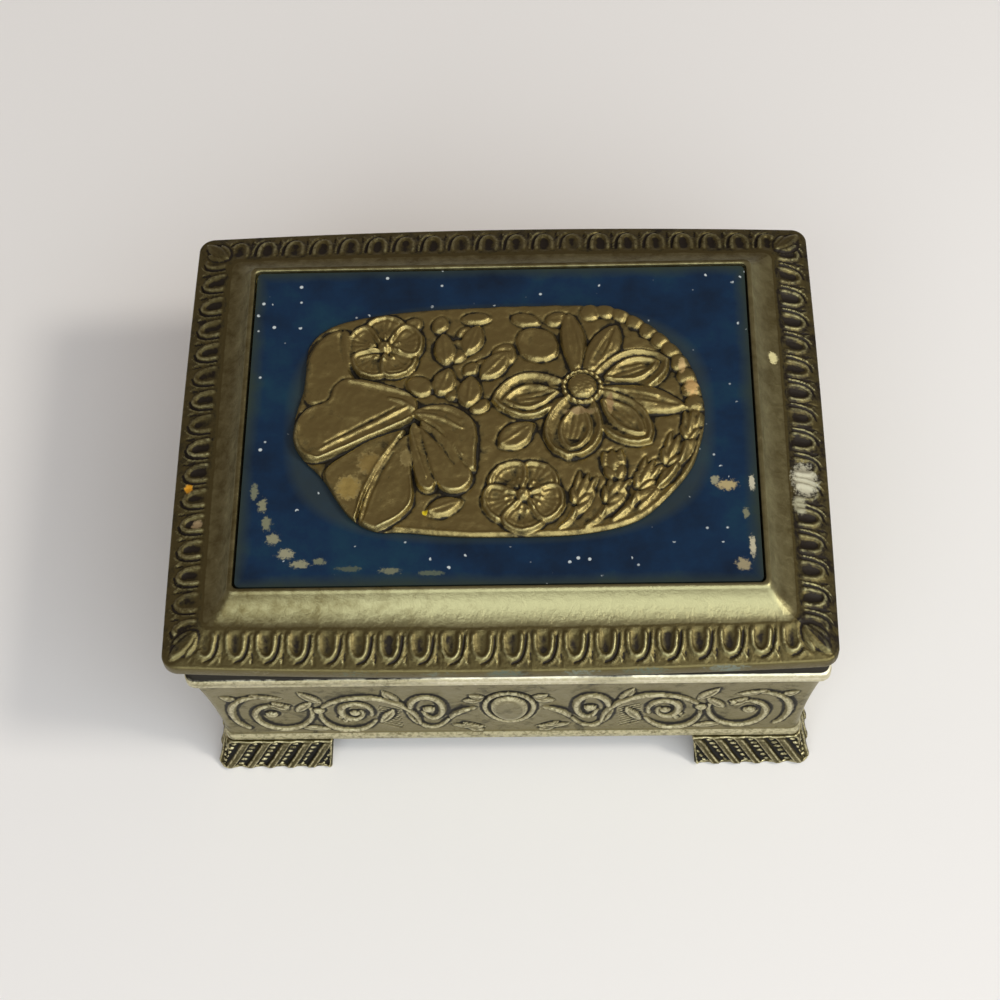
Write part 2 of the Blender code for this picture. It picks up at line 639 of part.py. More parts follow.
def scroll_piece(name, side, middle, size, start, sweep, last):
    """A tapered band with a roof-shaped section, swept along a spiral on a sloping face."""
    steps = round(abs(sweep) / SCROLL_STEP)
    path = []
    for step in range(steps + 1):
        share = step / steps
        angle = math.radians(start + sweep * share)
        shrink = 1 + (last - 1) * share ** SCROLL_CLOSING
        path.append(Vector((middle[0] + size[0] * shrink * math.cos(angle),
                            middle[1] + size[1] * shrink * math.sin(angle))))
    out = (BODY_DEPTH if side % 2 == 0 else BODY_LENGTH) / 2
    shape = bmesh.new()
    sections = []
    for step, place in enumerate(path):
        ahead = (path[min(step + 1, steps)] - path[max(step - 1, 0)]).normalized()
        across = Vector((-ahead.y, ahead.x))
        swell = SCROLL_TAPER + (1 - SCROLL_TAPER) * math.sin(math.pi * step / steps)
        crest = SCROLL_RELIEF * swell
        foot = SCROLL_WIDTH / 2 * swell * (crest + SCROLL_ROOT) / crest
        section = []
        for run, lift in ((-foot, -SCROLL_ROOT), (0.0, crest), (foot, -SCROLL_ROOT)):
            at = place + across * run
            section.append(shape.verts.new((at.x, -(out - face_inset(at.y) + lift), at.y)))
        sections.append(section)
    for first, second in zip(sections, sections[1:]):
        for corner in range(3):
            other = (corner + 1) % 3
            shape.faces.new((first[corner], first[other], second[other], second[corner]))
    shape.faces.new(sections[0][::-1])
    shape.faces.new(sections[-1])
    turn = Matrix.Rotation(side * math.pi / 2, 4, "Z")
    bmesh.ops.transform(shape, matrix=turn, verts=shape.verts)
    bmesh.ops.recalc_face_normals(shape, faces=shape.faces)
    return make_object(name, shape, antique_brass)


def frieze_boss(side):
    """Oval boss with a raised ring, square to the sloping face. Side -1 is the front."""
    middle = BASE_FILLET_HEIGHT + (BEAD_BOTTOM - BASE_FILLET_HEIGHT) / 2
    lower_face = face_inset(middle - BOSS_HEIGHT / 2)
    upper_face = face_inset(middle + BOSS_HEIGHT / 2)
    tilt = math.atan2(lower_face - upper_face, BOSS_HEIGHT)
    face = BODY_DEPTH / 2 - face_inset(middle)
    steps = 16
    sunk = BOSS_RELIEF
    pieces = []
    ring_profile = [(BOSS_RING_WIDTH, -sunk), (BOSS_RING_WIDTH, BOSS_RELIEF * 0.3),
                    (BOSS_RING_WIDTH * 0.5, BOSS_RELIEF * 0.5)]
    dome_profile = [(0.0, -sunk), (0.0, BOSS_RELIEF * 0.45),
                    (-BOSS_WIDTH * 0.12, BOSS_RELIEF * 0.8), (-BOSS_WIDTH * 0.3, BOSS_RELIEF)]
    for part, profile in (("ring", ring_profile), ("dome", dome_profile)):
        rings = []
        for grow, level in profile:
            points = []
            for step in range(steps):
                angle = 2 * math.pi * step / steps
                x = (BOSS_WIDTH / 2 + grow) * math.cos(angle)
                y = (BOSS_HEIGHT / 2 + grow) * math.sin(angle)
                points.append((x, y, 4 * step / steps))
            rings.append((points, level))
        shape = stack(rings)
        stand = Matrix.Rotation(math.pi / 2 + tilt, 4, "X")
        face_about = Matrix.Rotation(0.0 if side < 0 else math.pi, 4, "Z")
        place = face_about @ Matrix.Translation((0.0, -face, middle)) @ stand
        bmesh.ops.transform(shape, matrix=place, verts=shape.verts)
        name = f"frieze_{part}_{side}"
        pieces.append(make_object(name, shape, antique_brass))
    return pieces


def build_bottom_plate():
    plan = body_outline(cavity_inset(LEDGE_HEIGHT) + SEAT_GAP, CAVITY_CORNER_RADIUS)
    bottom = LEDGE_HEIGHT + SEAT_GAP
    return stack([(plan, bottom), (plan, bottom + BOTTOM_PLATE_THICKNESS)])


def lining_floor():
    return LEDGE_HEIGHT + SEAT_GAP + BOTTOM_PLATE_THICKNESS + SEAT_GAP


def build_lining(side):
    """A covered card against one inner wall. Sides run right, back, left, front."""
    shape = bmesh.new()
    on_short_side = side % 2 == 0
    rows = []
    for height in (lining_floor(), BODY_HEIGHT - LINING_BELOW_RIM):
        inset = cavity_inset(height) + SEAT_GAP
        out = (BODY_LENGTH if on_short_side else BODY_DEPTH) / 2 - inset
        along = (BODY_DEPTH if on_short_side else BODY_LENGTH) / 2 - inset
        along -= CAVITY_CORNER_RADIUS
        if on_short_side:
            along -= LINING_THICKNESS + SEAT_GAP - CAVITY_CORNER_RADIUS
        inner = out - LINING_THICKNESS
        rows.append([(inner, -along), (out, -along), (out, along), (inner, along)])
    floor = lining_floor()
    head = BODY_HEIGHT - LINING_BELOW_RIM
    lower = [shape.verts.new((x, y, floor)) for x, y in rows[0]]
    upper = [shape.verts.new((x, y, head)) for x, y in rows[1]]
    shape.faces.new(lower[::-1])
    shape.faces.new(upper)
    for i in range(4):
        j = (i + 1) % 4
        shape.faces.new((lower[i], lower[j], upper[j], upper[i]))
    turn = Matrix.Rotation(side * math.pi / 2, 4, "Z")
    bmesh.ops.transform(shape, matrix=turn, verts=shape.verts)
    return shape


def build_pad(half_x, half_y, thickness, upwards):
    """Crowned pad whose sides draw in between the corners."""
    def plan(inset):
        radius = PAD_CORNER_RADIUS
        marks_x = even_marks(half_x - inset - radius, 4)
        marks_y = even_marks(half_y - inset - radius, 4)
        return outline(half_x - inset, half_y - inset, radius, marks_x, marks_y,
                       -PAD_DRAW_IN, -PAD_DRAW_IN)

    edge = thickness / 4
    rings = [(plan(edge), 0.0), (plan(0.0), edge), (plan(0.0), thickness - edge),
             (plan(edge), thickness)]
    crown_steps = 3
    for step in range(1, crown_steps + 1):
        share = step / (crown_steps + 1)
        inset = edge + share * (half_y - edge - PAD_CORNER_RADIUS)
        rings.append((plan(inset), thickness + PAD_CROWN * (1 - (1 - share) ** 2)))
    shape = stack(rings)
    if not upwards:
        turn = Matrix.Rotation(math.pi, 4, "X")
        bmesh.ops.transform(shape, matrix=turn, verts=shape.verts)
    return shape


def rib_depth(run, height):
    """Gadroon relief of a foot at a run along its face and a height."""
    phase = (run - RIB_LEAN * height) / RIB_PITCH
    body = abs(math.sin(math.pi * phase))
    fade = min(1.0, height / FOOT_TOE_ROUND) * min(1.0, (FOOT_HEIGHT - height) / FOOT_TOE_ROUND)
    return RIB_DEPTH * (body - 1) * max(0.0, fade)


def foot_plan(height, outset):
    """L-shaped plan of the front left foot at one height, its corner towards -X -Y."""
    corner = Vector((-BODY_LENGTH / 2 + BASE_INSET - outset, -BODY_DEPTH / 2 + BASE_INSET - outset))
    radius = FOOT_CORNER_RADIUS
    front_length = FOOT_FRONT_LENGTH + outset * FOOT_END_UPRIGHT
    side_length = FOOT_SIDE_LENGTH + outset * FOOT_END_UPRIGHT
    points = []
    side_columns = round((FOOT_SIDE_LENGTH - radius) / RIB_PITCH * RIB_COLUMNS)
    front_columns = round((FOOT_FRONT_LENGTH - radius) / RIB_PITCH * RIB_COLUMNS)
    for column in range(side_columns + 1):
        run = side_length - (side_length - radius) * column / side_columns
        points.append((corner.x - rib_depth(run, height), corner.y + run))
    for step in range(1, CORNER_STEPS):
        angle = math.pi + step / CORNER_STEPS * math.pi / 2
        x = corner.x + radius + radius * math.cos(angle)
        y = corner.y + radius + radius * math.sin(angle)
        points.append((x, y))
    for column in range(front_columns + 1):
        run = radius + (front_length - radius) * column / front_columns
        points.append((corner.x + run, corner.y - rib_depth(run, height)))
    inner_x = -BODY_LENGTH / 2 + BASE_INSET + FOOT_LEG_THICKNESS
    inner_y = -BODY_DEPTH / 2 + BASE_INSET + FOOT_LEG_THICKNESS
    points.append((corner.x + front_length, inner_y))
    points.append((inner_x, inner_y))
    points.append((inner_x, corner.y + side_length))
    count = len(points)
    return [(x, y, 4 * index / count) for index, (x, y) in enumerate(points)]


def build_foot(mirror_x, mirror_y):
    """Bracket foot that flares to its toe, with leaning gadroons."""
    levels = [
        (0.0, FOOT_FLARE - FOOT_TOE_ROUND),
        (FOOT_TOE_ROUND, FOOT_FLARE),
        (FOOT_HEIGHT * 0.45, FOOT_FLARE * 0.62),
        (FOOT_HEIGHT - FOOT_TOE_ROUND, FOOT_HEAD_OUTSET),
        (FOOT_HEIGHT, FOOT_HEAD_OUTSET * 0.4),
    ]
    shape = stack([(foot_plan(height, outset), height) for height, outset in levels])
    mirror = Matrix.Diagonal((mirror_x, mirror_y, 1.0, 1.0))
    bmesh.ops.transform(shape, matrix=mirror, verts=shape.verts)
    if mirror_x * mirror_y < 0:
        bmesh.ops.reverse_faces(shape, faces=shape.faces)
    return shape


def knuckle(length, edge):
    """A bored knuckle along X. Its outer edge is a list of (y, z) round the axis."""
    shape = bmesh.new()

    def ring(x, places):
        made = []
        for y, z in places:
            angle = math.atan2(z, y) % (2 * math.pi)
            made.append((shape.verts.new((x, y, z)), angle * 2 / math.pi))
        made.sort(key=lambda entry: entry[1])
        return made

    bore = []
    for step in range(ROUND_STEPS):
        angle = 2 * math.pi * (step + 0.5) / ROUND_STEPS
        bore.append((HINGE_BORE * math.cos(angle), HINGE_BORE * math.sin(angle)))
    rings = [ring(-length / 2, edge), ring(length / 2, edge),
             ring(length / 2, bore), ring(-length / 2, bore)]
    for first, second in zip(rings, rings[1:] + rings[:1]):
        bridge(shape, first, second)
    return shape


def arc_places(start, end, steps):
    """Places on the knuckle's round side, angles in degrees from +Y towards +Z."""
    places = []
    for step in range(steps + 1):
        angle = math.radians(start + (end - start) * step / steps)
        places.append((HINGE_RADIUS * math.cos(angle), HINGE_RADIUS * math.sin(angle)))
    return places


def build_body_hinge_leaf(name, parent, location):
    """Two knuckles on a bar that is soldered to the back of the neck."""
    bar_top = -HINGE_RADIUS - SEAT_GAP
    bar_bottom = bar_top - LEAF_BAR_HEIGHT
    bar_back = -HINGE_RADIUS * 0.15
    length = 3 * KNUCKLE_LENGTH + 2 * SEAT_GAP
    edge = arc_places(-80, 180, 9) + [(-HINGE_RADIUS, bar_bottom), (bar_back, bar_bottom)]
    offset = KNUCKLE_LENGTH + SEAT_GAP
    leaves = []
    for side in (-1, 1):
        shape = knuckle(KNUCKLE_LENGTH, edge)
        shift = Matrix.Translation((side * offset, 0.0, 0.0))
        bmesh.ops.transform(shape, matrix=shift, verts=shape.verts)
        leaves.append(shape)
    bar = bmesh.new()
    bmesh.ops.create_cube(bar, size=1.0)
    size = Vector((length, bar_back + HINGE_RADIUS, LEAF_BAR_HEIGHT))
    middle = Vector((0.0, (bar_back - HINGE_RADIUS) / 2, (bar_top + bar_bottom) / 2))
    place = Matrix.Translation(middle) @ Matrix.Diagonal((*size, 1.0))
    bmesh.ops.transform(bar, matrix=place, verts=bar.verts)
    leaf = make_object(name, bar, plain_brass, parent, location)
    pieces = []
    for number, shape in enumerate(leaves):
        pieces.append(make_object(f"{name}_{number}", shape, plain_brass))
    fuse(leaf, pieces)
    return leaf


def build_lid_hinge_leaf():
    """One knuckle with a block that is soldered under the lid's lip."""
    shoulder = HINGE_RADIUS * 0.85
    edge = arc_places(180, 360, 6) + [(shoulder, HINGE_RADIUS), (-shoulder, HINGE_RADIUS)]
    return knuckle(KNUCKLE_LENGTH, edge)


def build_hinge_pin():
    """Pin along X with a small head at each end."""
    reach = (3 * KNUCKLE_LENGTH + 2 * SEAT_GAP) / 2 + SEAT_GAP
    profile = [
        (-reach - PIN_HEAD_LENGTH, PIN_HEAD_RADIUS * 0.7),
        (-reach - PIN_HEAD_LENGTH / 2, PIN_HEAD_RADIUS),
        (-reach, PIN_HEAD_RADIUS),
        (-reach, PIN_RADIUS),
        (reach, PIN_RADIUS),
        (reach, PIN_HEAD_RADIUS),
        (reach + PIN_HEAD_LENGTH / 2, PIN_HEAD_RADIUS),
        (reach + PIN_HEAD_LENGTH, PIN_HEAD_RADIUS * 0.7),
    ]
    rings = []
    for height, radius in profile:
        points = []
        for step in range(ROUND_STEPS):
            angle = 2 * math.pi * (step + 0.5) / ROUND_STEPS
            points.append((radius * math.cos(angle), radius * math.sin(angle), 4 * step / ROUND_STEPS))
        rings.append((points, height))
    shape = stack(rings)
    turn = Matrix.Rotation(math.pi / 2, 4, "Y")
    bmesh.ops.transform(shape, matrix=turn, verts=shape.verts)
    return shape


def build_body(box):
    body = empty("body_frame", (BODY_SET_OVER, 0.0, 0.0), box)
    level = (0.0, 0.0, BODY_BOTTOM)
    build_body_casting(body, level)
    for name, mirror_x, mirror_y in (("foot_front_left", 1, 1), ("foot_front_right", -1, 1),
                                     ("foot_back_left", 1, -1), ("foot_back_right", -1, -1)):
        make_object(name, build_foot(mirror_x, mirror_y), antique_brass, body)
    make_object("bottom_plate", build_bottom_plate(), plain_brass, body, level)
    for side, name in enumerate(("right", "back", "left", "front")):
        make_object(f"wall_lining_{name}", build_lining(side), velvet, body, level)
    floor = lining_floor()
    pad_inset = cavity_inset(floor) + SEAT_GAP + LINING_THICKNESS + PAD_CLEARANCE
    pad = build_pad(BODY_LENGTH / 2 - pad_inset, BODY_DEPTH / 2 - pad_inset,
                    BASE_PAD_THICKNESS, upwards=True)
    make_object("base_lining_pad", pad, velvet, body, (0.0, 0.0, BODY_BOTTOM + floor))


def build_lid(box):
    hinge_line = empty("lid_hinge_line", (0.0, HINGE_Y, HINGE_Z), box)
    place = (0.0, -HINGE_Y, LID_BOTTOM - HINGE_Z)
    make_object("lid_casting", build_lid_casting(), antique_brass, hinge_line, place)
    make_object("enamel_panel", build_enamel_panel(), navy_enamel, hinge_line, place)
    over_enamel = (0.0, -HINGE_Y, LID_BOTTOM - HINGE_Z + ENAMEL_TOP + SEAT_GAP)
    build_medallion(hinge_line, over_enamel)
    pad_inset = COVE_HEAD_INSET + LID_WALL + PAD_CLEARANCE
    pad = build_pad(LID_LENGTH / 2 - pad_inset, LID_DEPTH / 2 - pad_inset,
                    LID_PAD_THICKNESS, upwards=False)
    under_plate = (0.0, -HINGE_Y, LID_BOTTOM - HINGE_Z + LID_CEILING - SEAT_GAP)
    make_object("lid_lining_pad", pad, velvet, hinge_line, under_plate)
    for side, offset in (("left", -HINGE_SPACING / 2), ("right", HINGE_SPACING / 2)):
        on_axis = (offset, 0.0, 0.0)
        make_object(f"hinge_leaf_lid_{side}", build_lid_hinge_leaf(), plain_brass,
                    hinge_line, on_axis)


def build_fixed_hinge_parts(box):
    axis = empty("body_hinge_line", (0.0, HINGE_Y, HINGE_Z), box)
    for side, offset in (("left", -HINGE_SPACING / 2), ("right", HINGE_SPACING / 2)):
        on_axis = (offset, 0.0, 0.0)
        build_body_hinge_leaf(f"hinge_leaf_body_{side}", axis, on_axis)
        make_object(f"hinge_pin_{side}", build_hinge_pin(), plain_brass, axis, on_axis)


def build_box():
    clear_scene()
    box = empty("trinket_box", (0.0, -CENTRE_SHIFT, 0.0))
    build_body(box)
    build_fixed_hinge_parts(box)
    build_lid(box)
    bpy.context.view_layer.update()


build_box()
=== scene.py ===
import math

import bpy
import numpy as np
from mathutils import Matrix, Vector, noise


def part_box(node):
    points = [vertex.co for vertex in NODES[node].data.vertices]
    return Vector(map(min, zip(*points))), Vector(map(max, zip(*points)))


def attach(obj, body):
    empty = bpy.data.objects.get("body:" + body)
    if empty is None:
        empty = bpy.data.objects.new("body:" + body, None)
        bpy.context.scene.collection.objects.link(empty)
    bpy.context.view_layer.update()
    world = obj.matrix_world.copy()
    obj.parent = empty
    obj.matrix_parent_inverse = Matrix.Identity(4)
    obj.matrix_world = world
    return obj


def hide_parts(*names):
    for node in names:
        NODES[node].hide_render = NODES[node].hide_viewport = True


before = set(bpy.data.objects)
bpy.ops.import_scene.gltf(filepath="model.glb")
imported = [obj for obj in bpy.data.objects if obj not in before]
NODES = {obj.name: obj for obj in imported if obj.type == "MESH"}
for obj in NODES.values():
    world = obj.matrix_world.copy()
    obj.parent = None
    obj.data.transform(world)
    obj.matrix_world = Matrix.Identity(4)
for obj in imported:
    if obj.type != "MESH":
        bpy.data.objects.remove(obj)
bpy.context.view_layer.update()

# Sizes are in millimetres up to the point where a mesh is made.
MM = 0.001
WELD = 0.001 * MM

LID_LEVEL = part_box("lid_casting")[0].z / MM
BOX_MIDDLE = (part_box("lid_casting")[0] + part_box("lid_casting")[1]) / 2 / MM
BODY_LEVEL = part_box("body_casting")[0].z / MM
BODY_MIDDLE = (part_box("body_casting")[0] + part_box("body_casting")[1]) / 2 / MM

LID_HALF_LENGTH = 45.0
LID_HALF_DEPTH = 35.8
LID_CORNER = 2.2
LID_CORNER_TIGHTENING = 0.15
LONG_SIDE_BOW = 1.0
SHORT_SIDE_BOW = 0.3
LIP_HEIGHT = 2.0
EDGE_ROUND = 0.35
BAND_WIDTH = 5.0         # the carved border
BAND_LEVEL = 3.5         # where it meets the ridge
RIDGE_WIDTH = 0.5
COVE_WIDTH = 3.4
COVE_RISE = 3.0
COVE_SAG = 0.5
FRAME_WIDTH = 0.6
FRAME_ROUND = 0.15
COVE_HEAD = BAND_WIDTH + RIDGE_WIDTH + COVE_WIDTH
RECESS_LEVEL = 5.3
CEILING_LEVEL = 4.1
LID_WALL = 1.7
SEAT_WIDTH = 4.4
EGG_PITCH = 4.1
EGGS_LONG_SIDE = 20
EGGS_SHORT_SIDE = 16

ENAMEL_HALF_LENGTH = LID_HALF_LENGTH - COVE_HEAD - FRAME_WIDTH
ENAMEL_HALF_DEPTH = LID_HALF_DEPTH - COVE_HEAD - FRAME_WIDTH

PLAQUE_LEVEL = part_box("relief_medallion")[0].z / MM
PLAQUE_EDGE = 0.45
PLAQUE_CROWN = 0.4
PLAQUE_LEAST = 0.15      # what is left of the sheet under the deepest cut
PLAQUE_DENTS = [(0.16, 0.3, 2.3), (0.09, 1.1, 5.7)]    # height, waves to a millimetre, seed
PLAQUE_HALF_LENGTH = 28.7
PLAQUE_HALF_DEPTH = 19.1
PLAQUE_COLUMNS = 356
PLAQUE_ROWS = 236

BODY_HALF_LENGTH = 43.8
BODY_HALF_DEPTH = 34.6
BODY_CORNER = 1.4
BODY_HEIGHT = 27.9
BODY_WALL = 1.9
BASE_INSET = 2.3
FACE_FOOT = 2.0
FACE_HEAD = 21.15
FACE_FOOT_INSET = 2.55
FACE_HEAD_INSET = 0.6
FACE_HOLLOW = 0.25
BEAD_TOP = 23.7
RIM_FOOT = 27.6
NECK_INSET = 0.45
CAVITY_CORNER = 0.8
LEDGE_HEIGHT = 1.6
LEDGE_WIDTH = 1.2


# Small tools for modelling.

def pick(piece):
    """Leaves this piece alone selected and active."""
    bpy.ops.object.select_all(action="DESELECT")
    piece.select_set(True)
    bpy.context.view_layer.objects.active = piece
    return piece


def named(name):
    piece = bpy.context.object
    piece.name = name
    return piece


def settle(piece):
    """Moves a piece's place, turn and size into its mesh."""
    pick(piece)
    bpy.ops.object.transform_apply(location=True, rotation=True, scale=True)
    return piece


def modify(piece, kind, **settings):
    pick(piece)
    modifier = piece.modifiers.new(kind, kind)
    for setting, value in settings.items():
        setattr(modifier, setting, value)
    bpy.ops.object.modifier_apply(modifier=modifier.name)
    return piece


def spots(piece):
    """The vertices' places as an array, in millimetres."""
    places = np.empty(len(piece.data.vertices) * 3)
    piece.data.vertices.foreach_get("co", places)
    return places.reshape(-1, 3) / MM


def vertex_normals(piece):
    normals = np.empty(len(piece.data.vertices) * 3)
    piece.data.vertex_normals.foreach_get("vector", normals)
    return normals.reshape(-1, 3)


def put(piece, x, y, z):
    """Moves the vertices to these places, in millimetres."""
    piece.data.vertices.foreach_set("co", (np.stack([x, y, z], 1) * MM).ravel())
    piece.data.update()


def open_mesh(piece):
    """Goes into edit mode with all of a piece selected."""
    pick(piece)
    bpy.ops.object.mode_set(mode="EDIT")
    bpy.ops.mesh.select_all(action="SELECT")


def from_node(node, name):
    """A copy of a CAD node's solid to carve on, with its loose triangles merged."""
    piece = bpy.data.objects.new(name, NODES[node].data.copy())
    bpy.context.scene.collection.objects.link(piece)
    open_mesh(piece)
    bpy.ops.mesh.remove_doubles(threshold=WELD)
    bpy.ops.object.mode_set(mode="OBJECT")
    return piece


def lattice(name, columns, rings):
    """A fine grid to press a casting from, with the column and ring of each of its points."""
    bpy.ops.mesh.primitive_grid_add(x_subdivisions=columns, y_subdivisions=rings, size=2 * MM)
    piece = named(name)
    across, up, _ = spots(piece).T
    column = np.rint((across + 1) / 2 * columns).astype(int)
    ring = np.rint((up + 1) / 2 * rings).astype(int)
    return piece, column, ring


def close_up(piece):
    """Welds the seam, fills what is open and turns the faces outwards."""
    open_mesh(piece)
    bpy.ops.mesh.remove_doubles(threshold=WELD)
    bpy.ops.mesh.fill_holes(sides=0)
    bpy.ops.mesh.select_all(action="SELECT")
    bpy.ops.mesh.normals_make_consistent(inside=False)
    bpy.ops.object.mode_set(mode="OBJECT")


def rounded_plan(column, counts, half_x, half_y, radius, bow_long=0.0, bow_short=0.0):
    """Places on rounded rectangles, with the side each lies on and how far along it.

    Columns run round from the front's left end, with counts of them for each side. The
    sides are the front, right, back and left. A bow swells a side out between its corners.
    """
    starts = np.cumsum([0, *counts])
    side = np.clip(np.searchsorted(starts, column, side="right") - 1, 0, 3)
    share = 2 * (column - starts[side]) / np.array(counts)[side] - 1
    on_long_side = side % 2 == 0
    half = np.where(on_long_side, half_x, half_y)
    out = np.where(on_long_side, half_y, half_x)
    straight = half - radius
    along = half * share
    past = np.clip((np.abs(along) - straight) / radius, 0, 1) * math.pi / 4
    bow = np.where(on_long_side, bow_long, bow_short)
    out = np.where(past > 0, out - radius + radius * np.cos(past),
                   out + bow * (1 - (along / straight) ** 2))
    along = np.where(past > 0, np.sign(along) * (straight + radius * np.sin(past)), along)
    x = np.choose(side, [along, out, -along, -out])
    y = np.choose(side, [-out, along, out, -along])
    return x, y, side, along


def arc(centre, radius, start, end, steps):
    """Points on an arc, without its first."""
    turns = [math.radians(start + (end - start) * step / steps) for step in range(1, steps + 1)]
    return [(centre[0] + radius * math.cos(turn), centre[1] + radius * math.sin(turn))
            for turn in turns]


def cut_corners(points):
    """Two points a quarter in from the ends of each stretch of a line."""
    return [tuple(a + share * (b - a) for a, b in zip(first, second))
            for first, second in zip(points, points[1:]) for share in (0.25, 0.75)]


def rounded(outline):
    """Cuts the corners of a closed outline twice, so that it runs smoothly."""
    once = cut_corners(outline + outline[:1])
    return cut_corners(once + once[:1])


def smooth_line(points):
    """Cuts the corners of an open line twice, so that it runs smoothly."""
    for _ in range(2):
        points = [points[0], *cut_corners(points), points[-1]]
    return points


def mark(piece, name, values):
    """Keeps a number for each point, for a finish to read."""
    marks = piece.data.attributes.new(name, "FLOAT", "POINT")
    marks.data.foreach_set("value", np.asarray(values, np.float32))


def marks_of(piece, name):
    values = np.empty(len(piece.data.vertices), np.float32)
    piece.data.attributes[name].data.foreach_get("value", values)
    return values


EDGE_PASSES = 3
FADE = [0, 1, 1, 0]      # how a relief dies out at both ends of its ground


def mark_relief(piece, passes, name, share=1.0):
    """Keeps how far each point lies in a hollow, in millimetres, or with a minus on a crest.

    A share below 1 keeps less of it, where a form isn't carved.
    """
    places = spots(piece)
    count = len(places)
    ends = np.empty(len(piece.data.edges) * 2, np.int32)
    piece.data.edges.foreach_get("vertices", ends)
    first, second = ends[0::2], ends[1::2]
    neighbours = np.maximum(np.bincount(first, minlength=count)
                            + np.bincount(second, minlength=count), 1)
    soft = places.copy()
    for _ in range(passes):
        total = np.empty_like(soft)
        for axis in range(3):
            total[:, axis] = (np.bincount(first, soft[second, axis], count)
                              + np.bincount(second, soft[first, axis], count))
        soft = total / neighbours[:, None]
    mark(piece, name, share * ((soft - places) * vertex_normals(piece)).sum(1))


def mark_weathering(piece, passes, share=1.0):
    """Marks the wide hollows, where patina gathers, and the sharp edges, where it wears off."""
    mark_relief(piece, passes, "hollow", share)
    mark_relief(piece, EDGE_PASSES, "edge", share)


def coat(mesh, finish):
    mesh.materials.clear()
    mesh.materials.append(finish)


def finish_piece(piece, body, node, finish):
    """Shading, finish and seat of a piece that stands for a CAD node."""
    piece.data.shade_smooth()
    coat(piece.data, finish)
    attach(piece, body)
    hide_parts(node)


# Finishes. A noise's scale is in waves to a metre, so that 160 gives clouds of about 6 mm.
# The three numbers after it are its detail, its roughness and how far it is distorted.

def colour(hex_code):
    """An sRGB hex colour as the linear values that a shader takes."""
    parts = [int(hex_code[i:i + 2], 16) / 255 for i in (1, 3, 5)]
    linear = [c / 12.92 if c <= 0.04045 else ((c + 0.055) / 1.055) ** 2.4 for c in parts]
    return (*linear, 1.0)


class Finish:
    """A material, built up from shader nodes."""

    def __init__(self, name):
        self.material = bpy.data.materials.new(name)
        self.material.use_nodes = True
        self.material.node_tree.nodes.clear()

    def add(self, kind, settings):
        """Adds a shader node. Where a setting is another node or its output, it is linked.

        A whole node stands for its first output.
        """
        node = self.material.node_tree.nodes.new("ShaderNode" + kind)
        for key, value in settings.items():
            if isinstance(value, bpy.types.Node):
                value = value.outputs[0]
            if isinstance(value, bpy.types.NodeSocket):
                self.material.node_tree.links.new(value, node.inputs[key])
            elif isinstance(key, str) and hasattr(node, key):
                setattr(node, key, value)
            else:
                node.inputs[key].default_value = value
        return node

    def place(self):
        return self.add("TexCoord", {}).outputs["Object"]

    def noise(self, place, scale, detail=2.0, roughness=0.5, distortion=0.0):
        return self.add("TexNoise", {"Vector": place, "Scale": scale, "Detail": detail,
                                     "Roughness": roughness, "Distortion": distortion})

    def math(self, operation, *terms, clamp=False):
        return self.add("Math", {"operation": operation, "use_clamp": clamp,
                                 **dict(enumerate(terms))})

    def vector(self, operation, *terms):
        return self.add("VectorMath", {"operation": operation, **dict(enumerate(terms))})

    def remap(self, value, start, end, low=0.0, high=1.0):
        """Runs from low to high while a value runs from start to end, and stays between them."""
        return self.add("MapRange", {"Value": value, "From Min": start, "From Max": end,
                                     "To Min": low, "To Max": high})

    def mix(self, share, under, over):
        """Lays a colour over a shade."""
        mixed = self.add("Mix", {"data_type": "RGBA", 0: share, 6: under, 7: colour(over)})
        return mixed.outputs[2]

    def tones(self, value, *stops):
        """Turns a value into colours, with a place from 0 to 1 for each."""
        toned = self.add("ValToRGB", {"Fac": value})
        elements = toned.color_ramp.elements
        while len(elements) < len(stops):
            elements.new(0.5)
        for element, (place, shade) in zip(elements, stops):
            element.position = place
            element.color = colour(shade)
        return toned

    def bump(self, height, strength, depth, **under):
        return self.add("Bump", {"Height": height, "Strength": strength,
                                 "Distance": depth * MM, **under})

    def surface(self, settings):
        """Ends the material with the surface that light meets."""
        self.add("OutputMaterial", {"Surface": self.add("BsdfPrincipled", settings)})
        return self.material

    def patches(self, place, shade, patch_list, ragged):
        """Lays irregular patches of other colours over a shade, and gives their cover as well.

        Each patch has a middle, a half width and a half depth in millimetres, and a colour.
        Where the sheet's far side shows too, it also has a height above the lip's foot.
        """
        cover = None
        torn = self.noise(place, 1900.0, 6.0, 0.75)
        for x, y, reach_x, reach_y, tint, *height in patch_list:
            sheet = 1 / PATCH_THICKNESS if height else 0.0
            middle = (-(x + BOX_MIDDLE.x) / reach_x, -(y + BOX_MIDDLE.y) / reach_y,
                      -(LID_LEVEL + sum(height)) * sheet)
            spread = (1 / reach_x / MM, 1 / reach_y / MM, sheet / MM)
            at = self.vector("MULTIPLY_ADD", place, spread, middle)
            away = self.vector("LENGTH", at).outputs["Value"]
            edge = self.math("MULTIPLY_ADD", torn, ragged, away)
            mask = self.remap(edge, 1.15 + ragged / 2, 0.75 + ragged / 2)
            shade = self.mix(mask, shade, tint)
            cover = self.math("MAXIMUM", cover, mask) if cover else mask
        return shade, cover


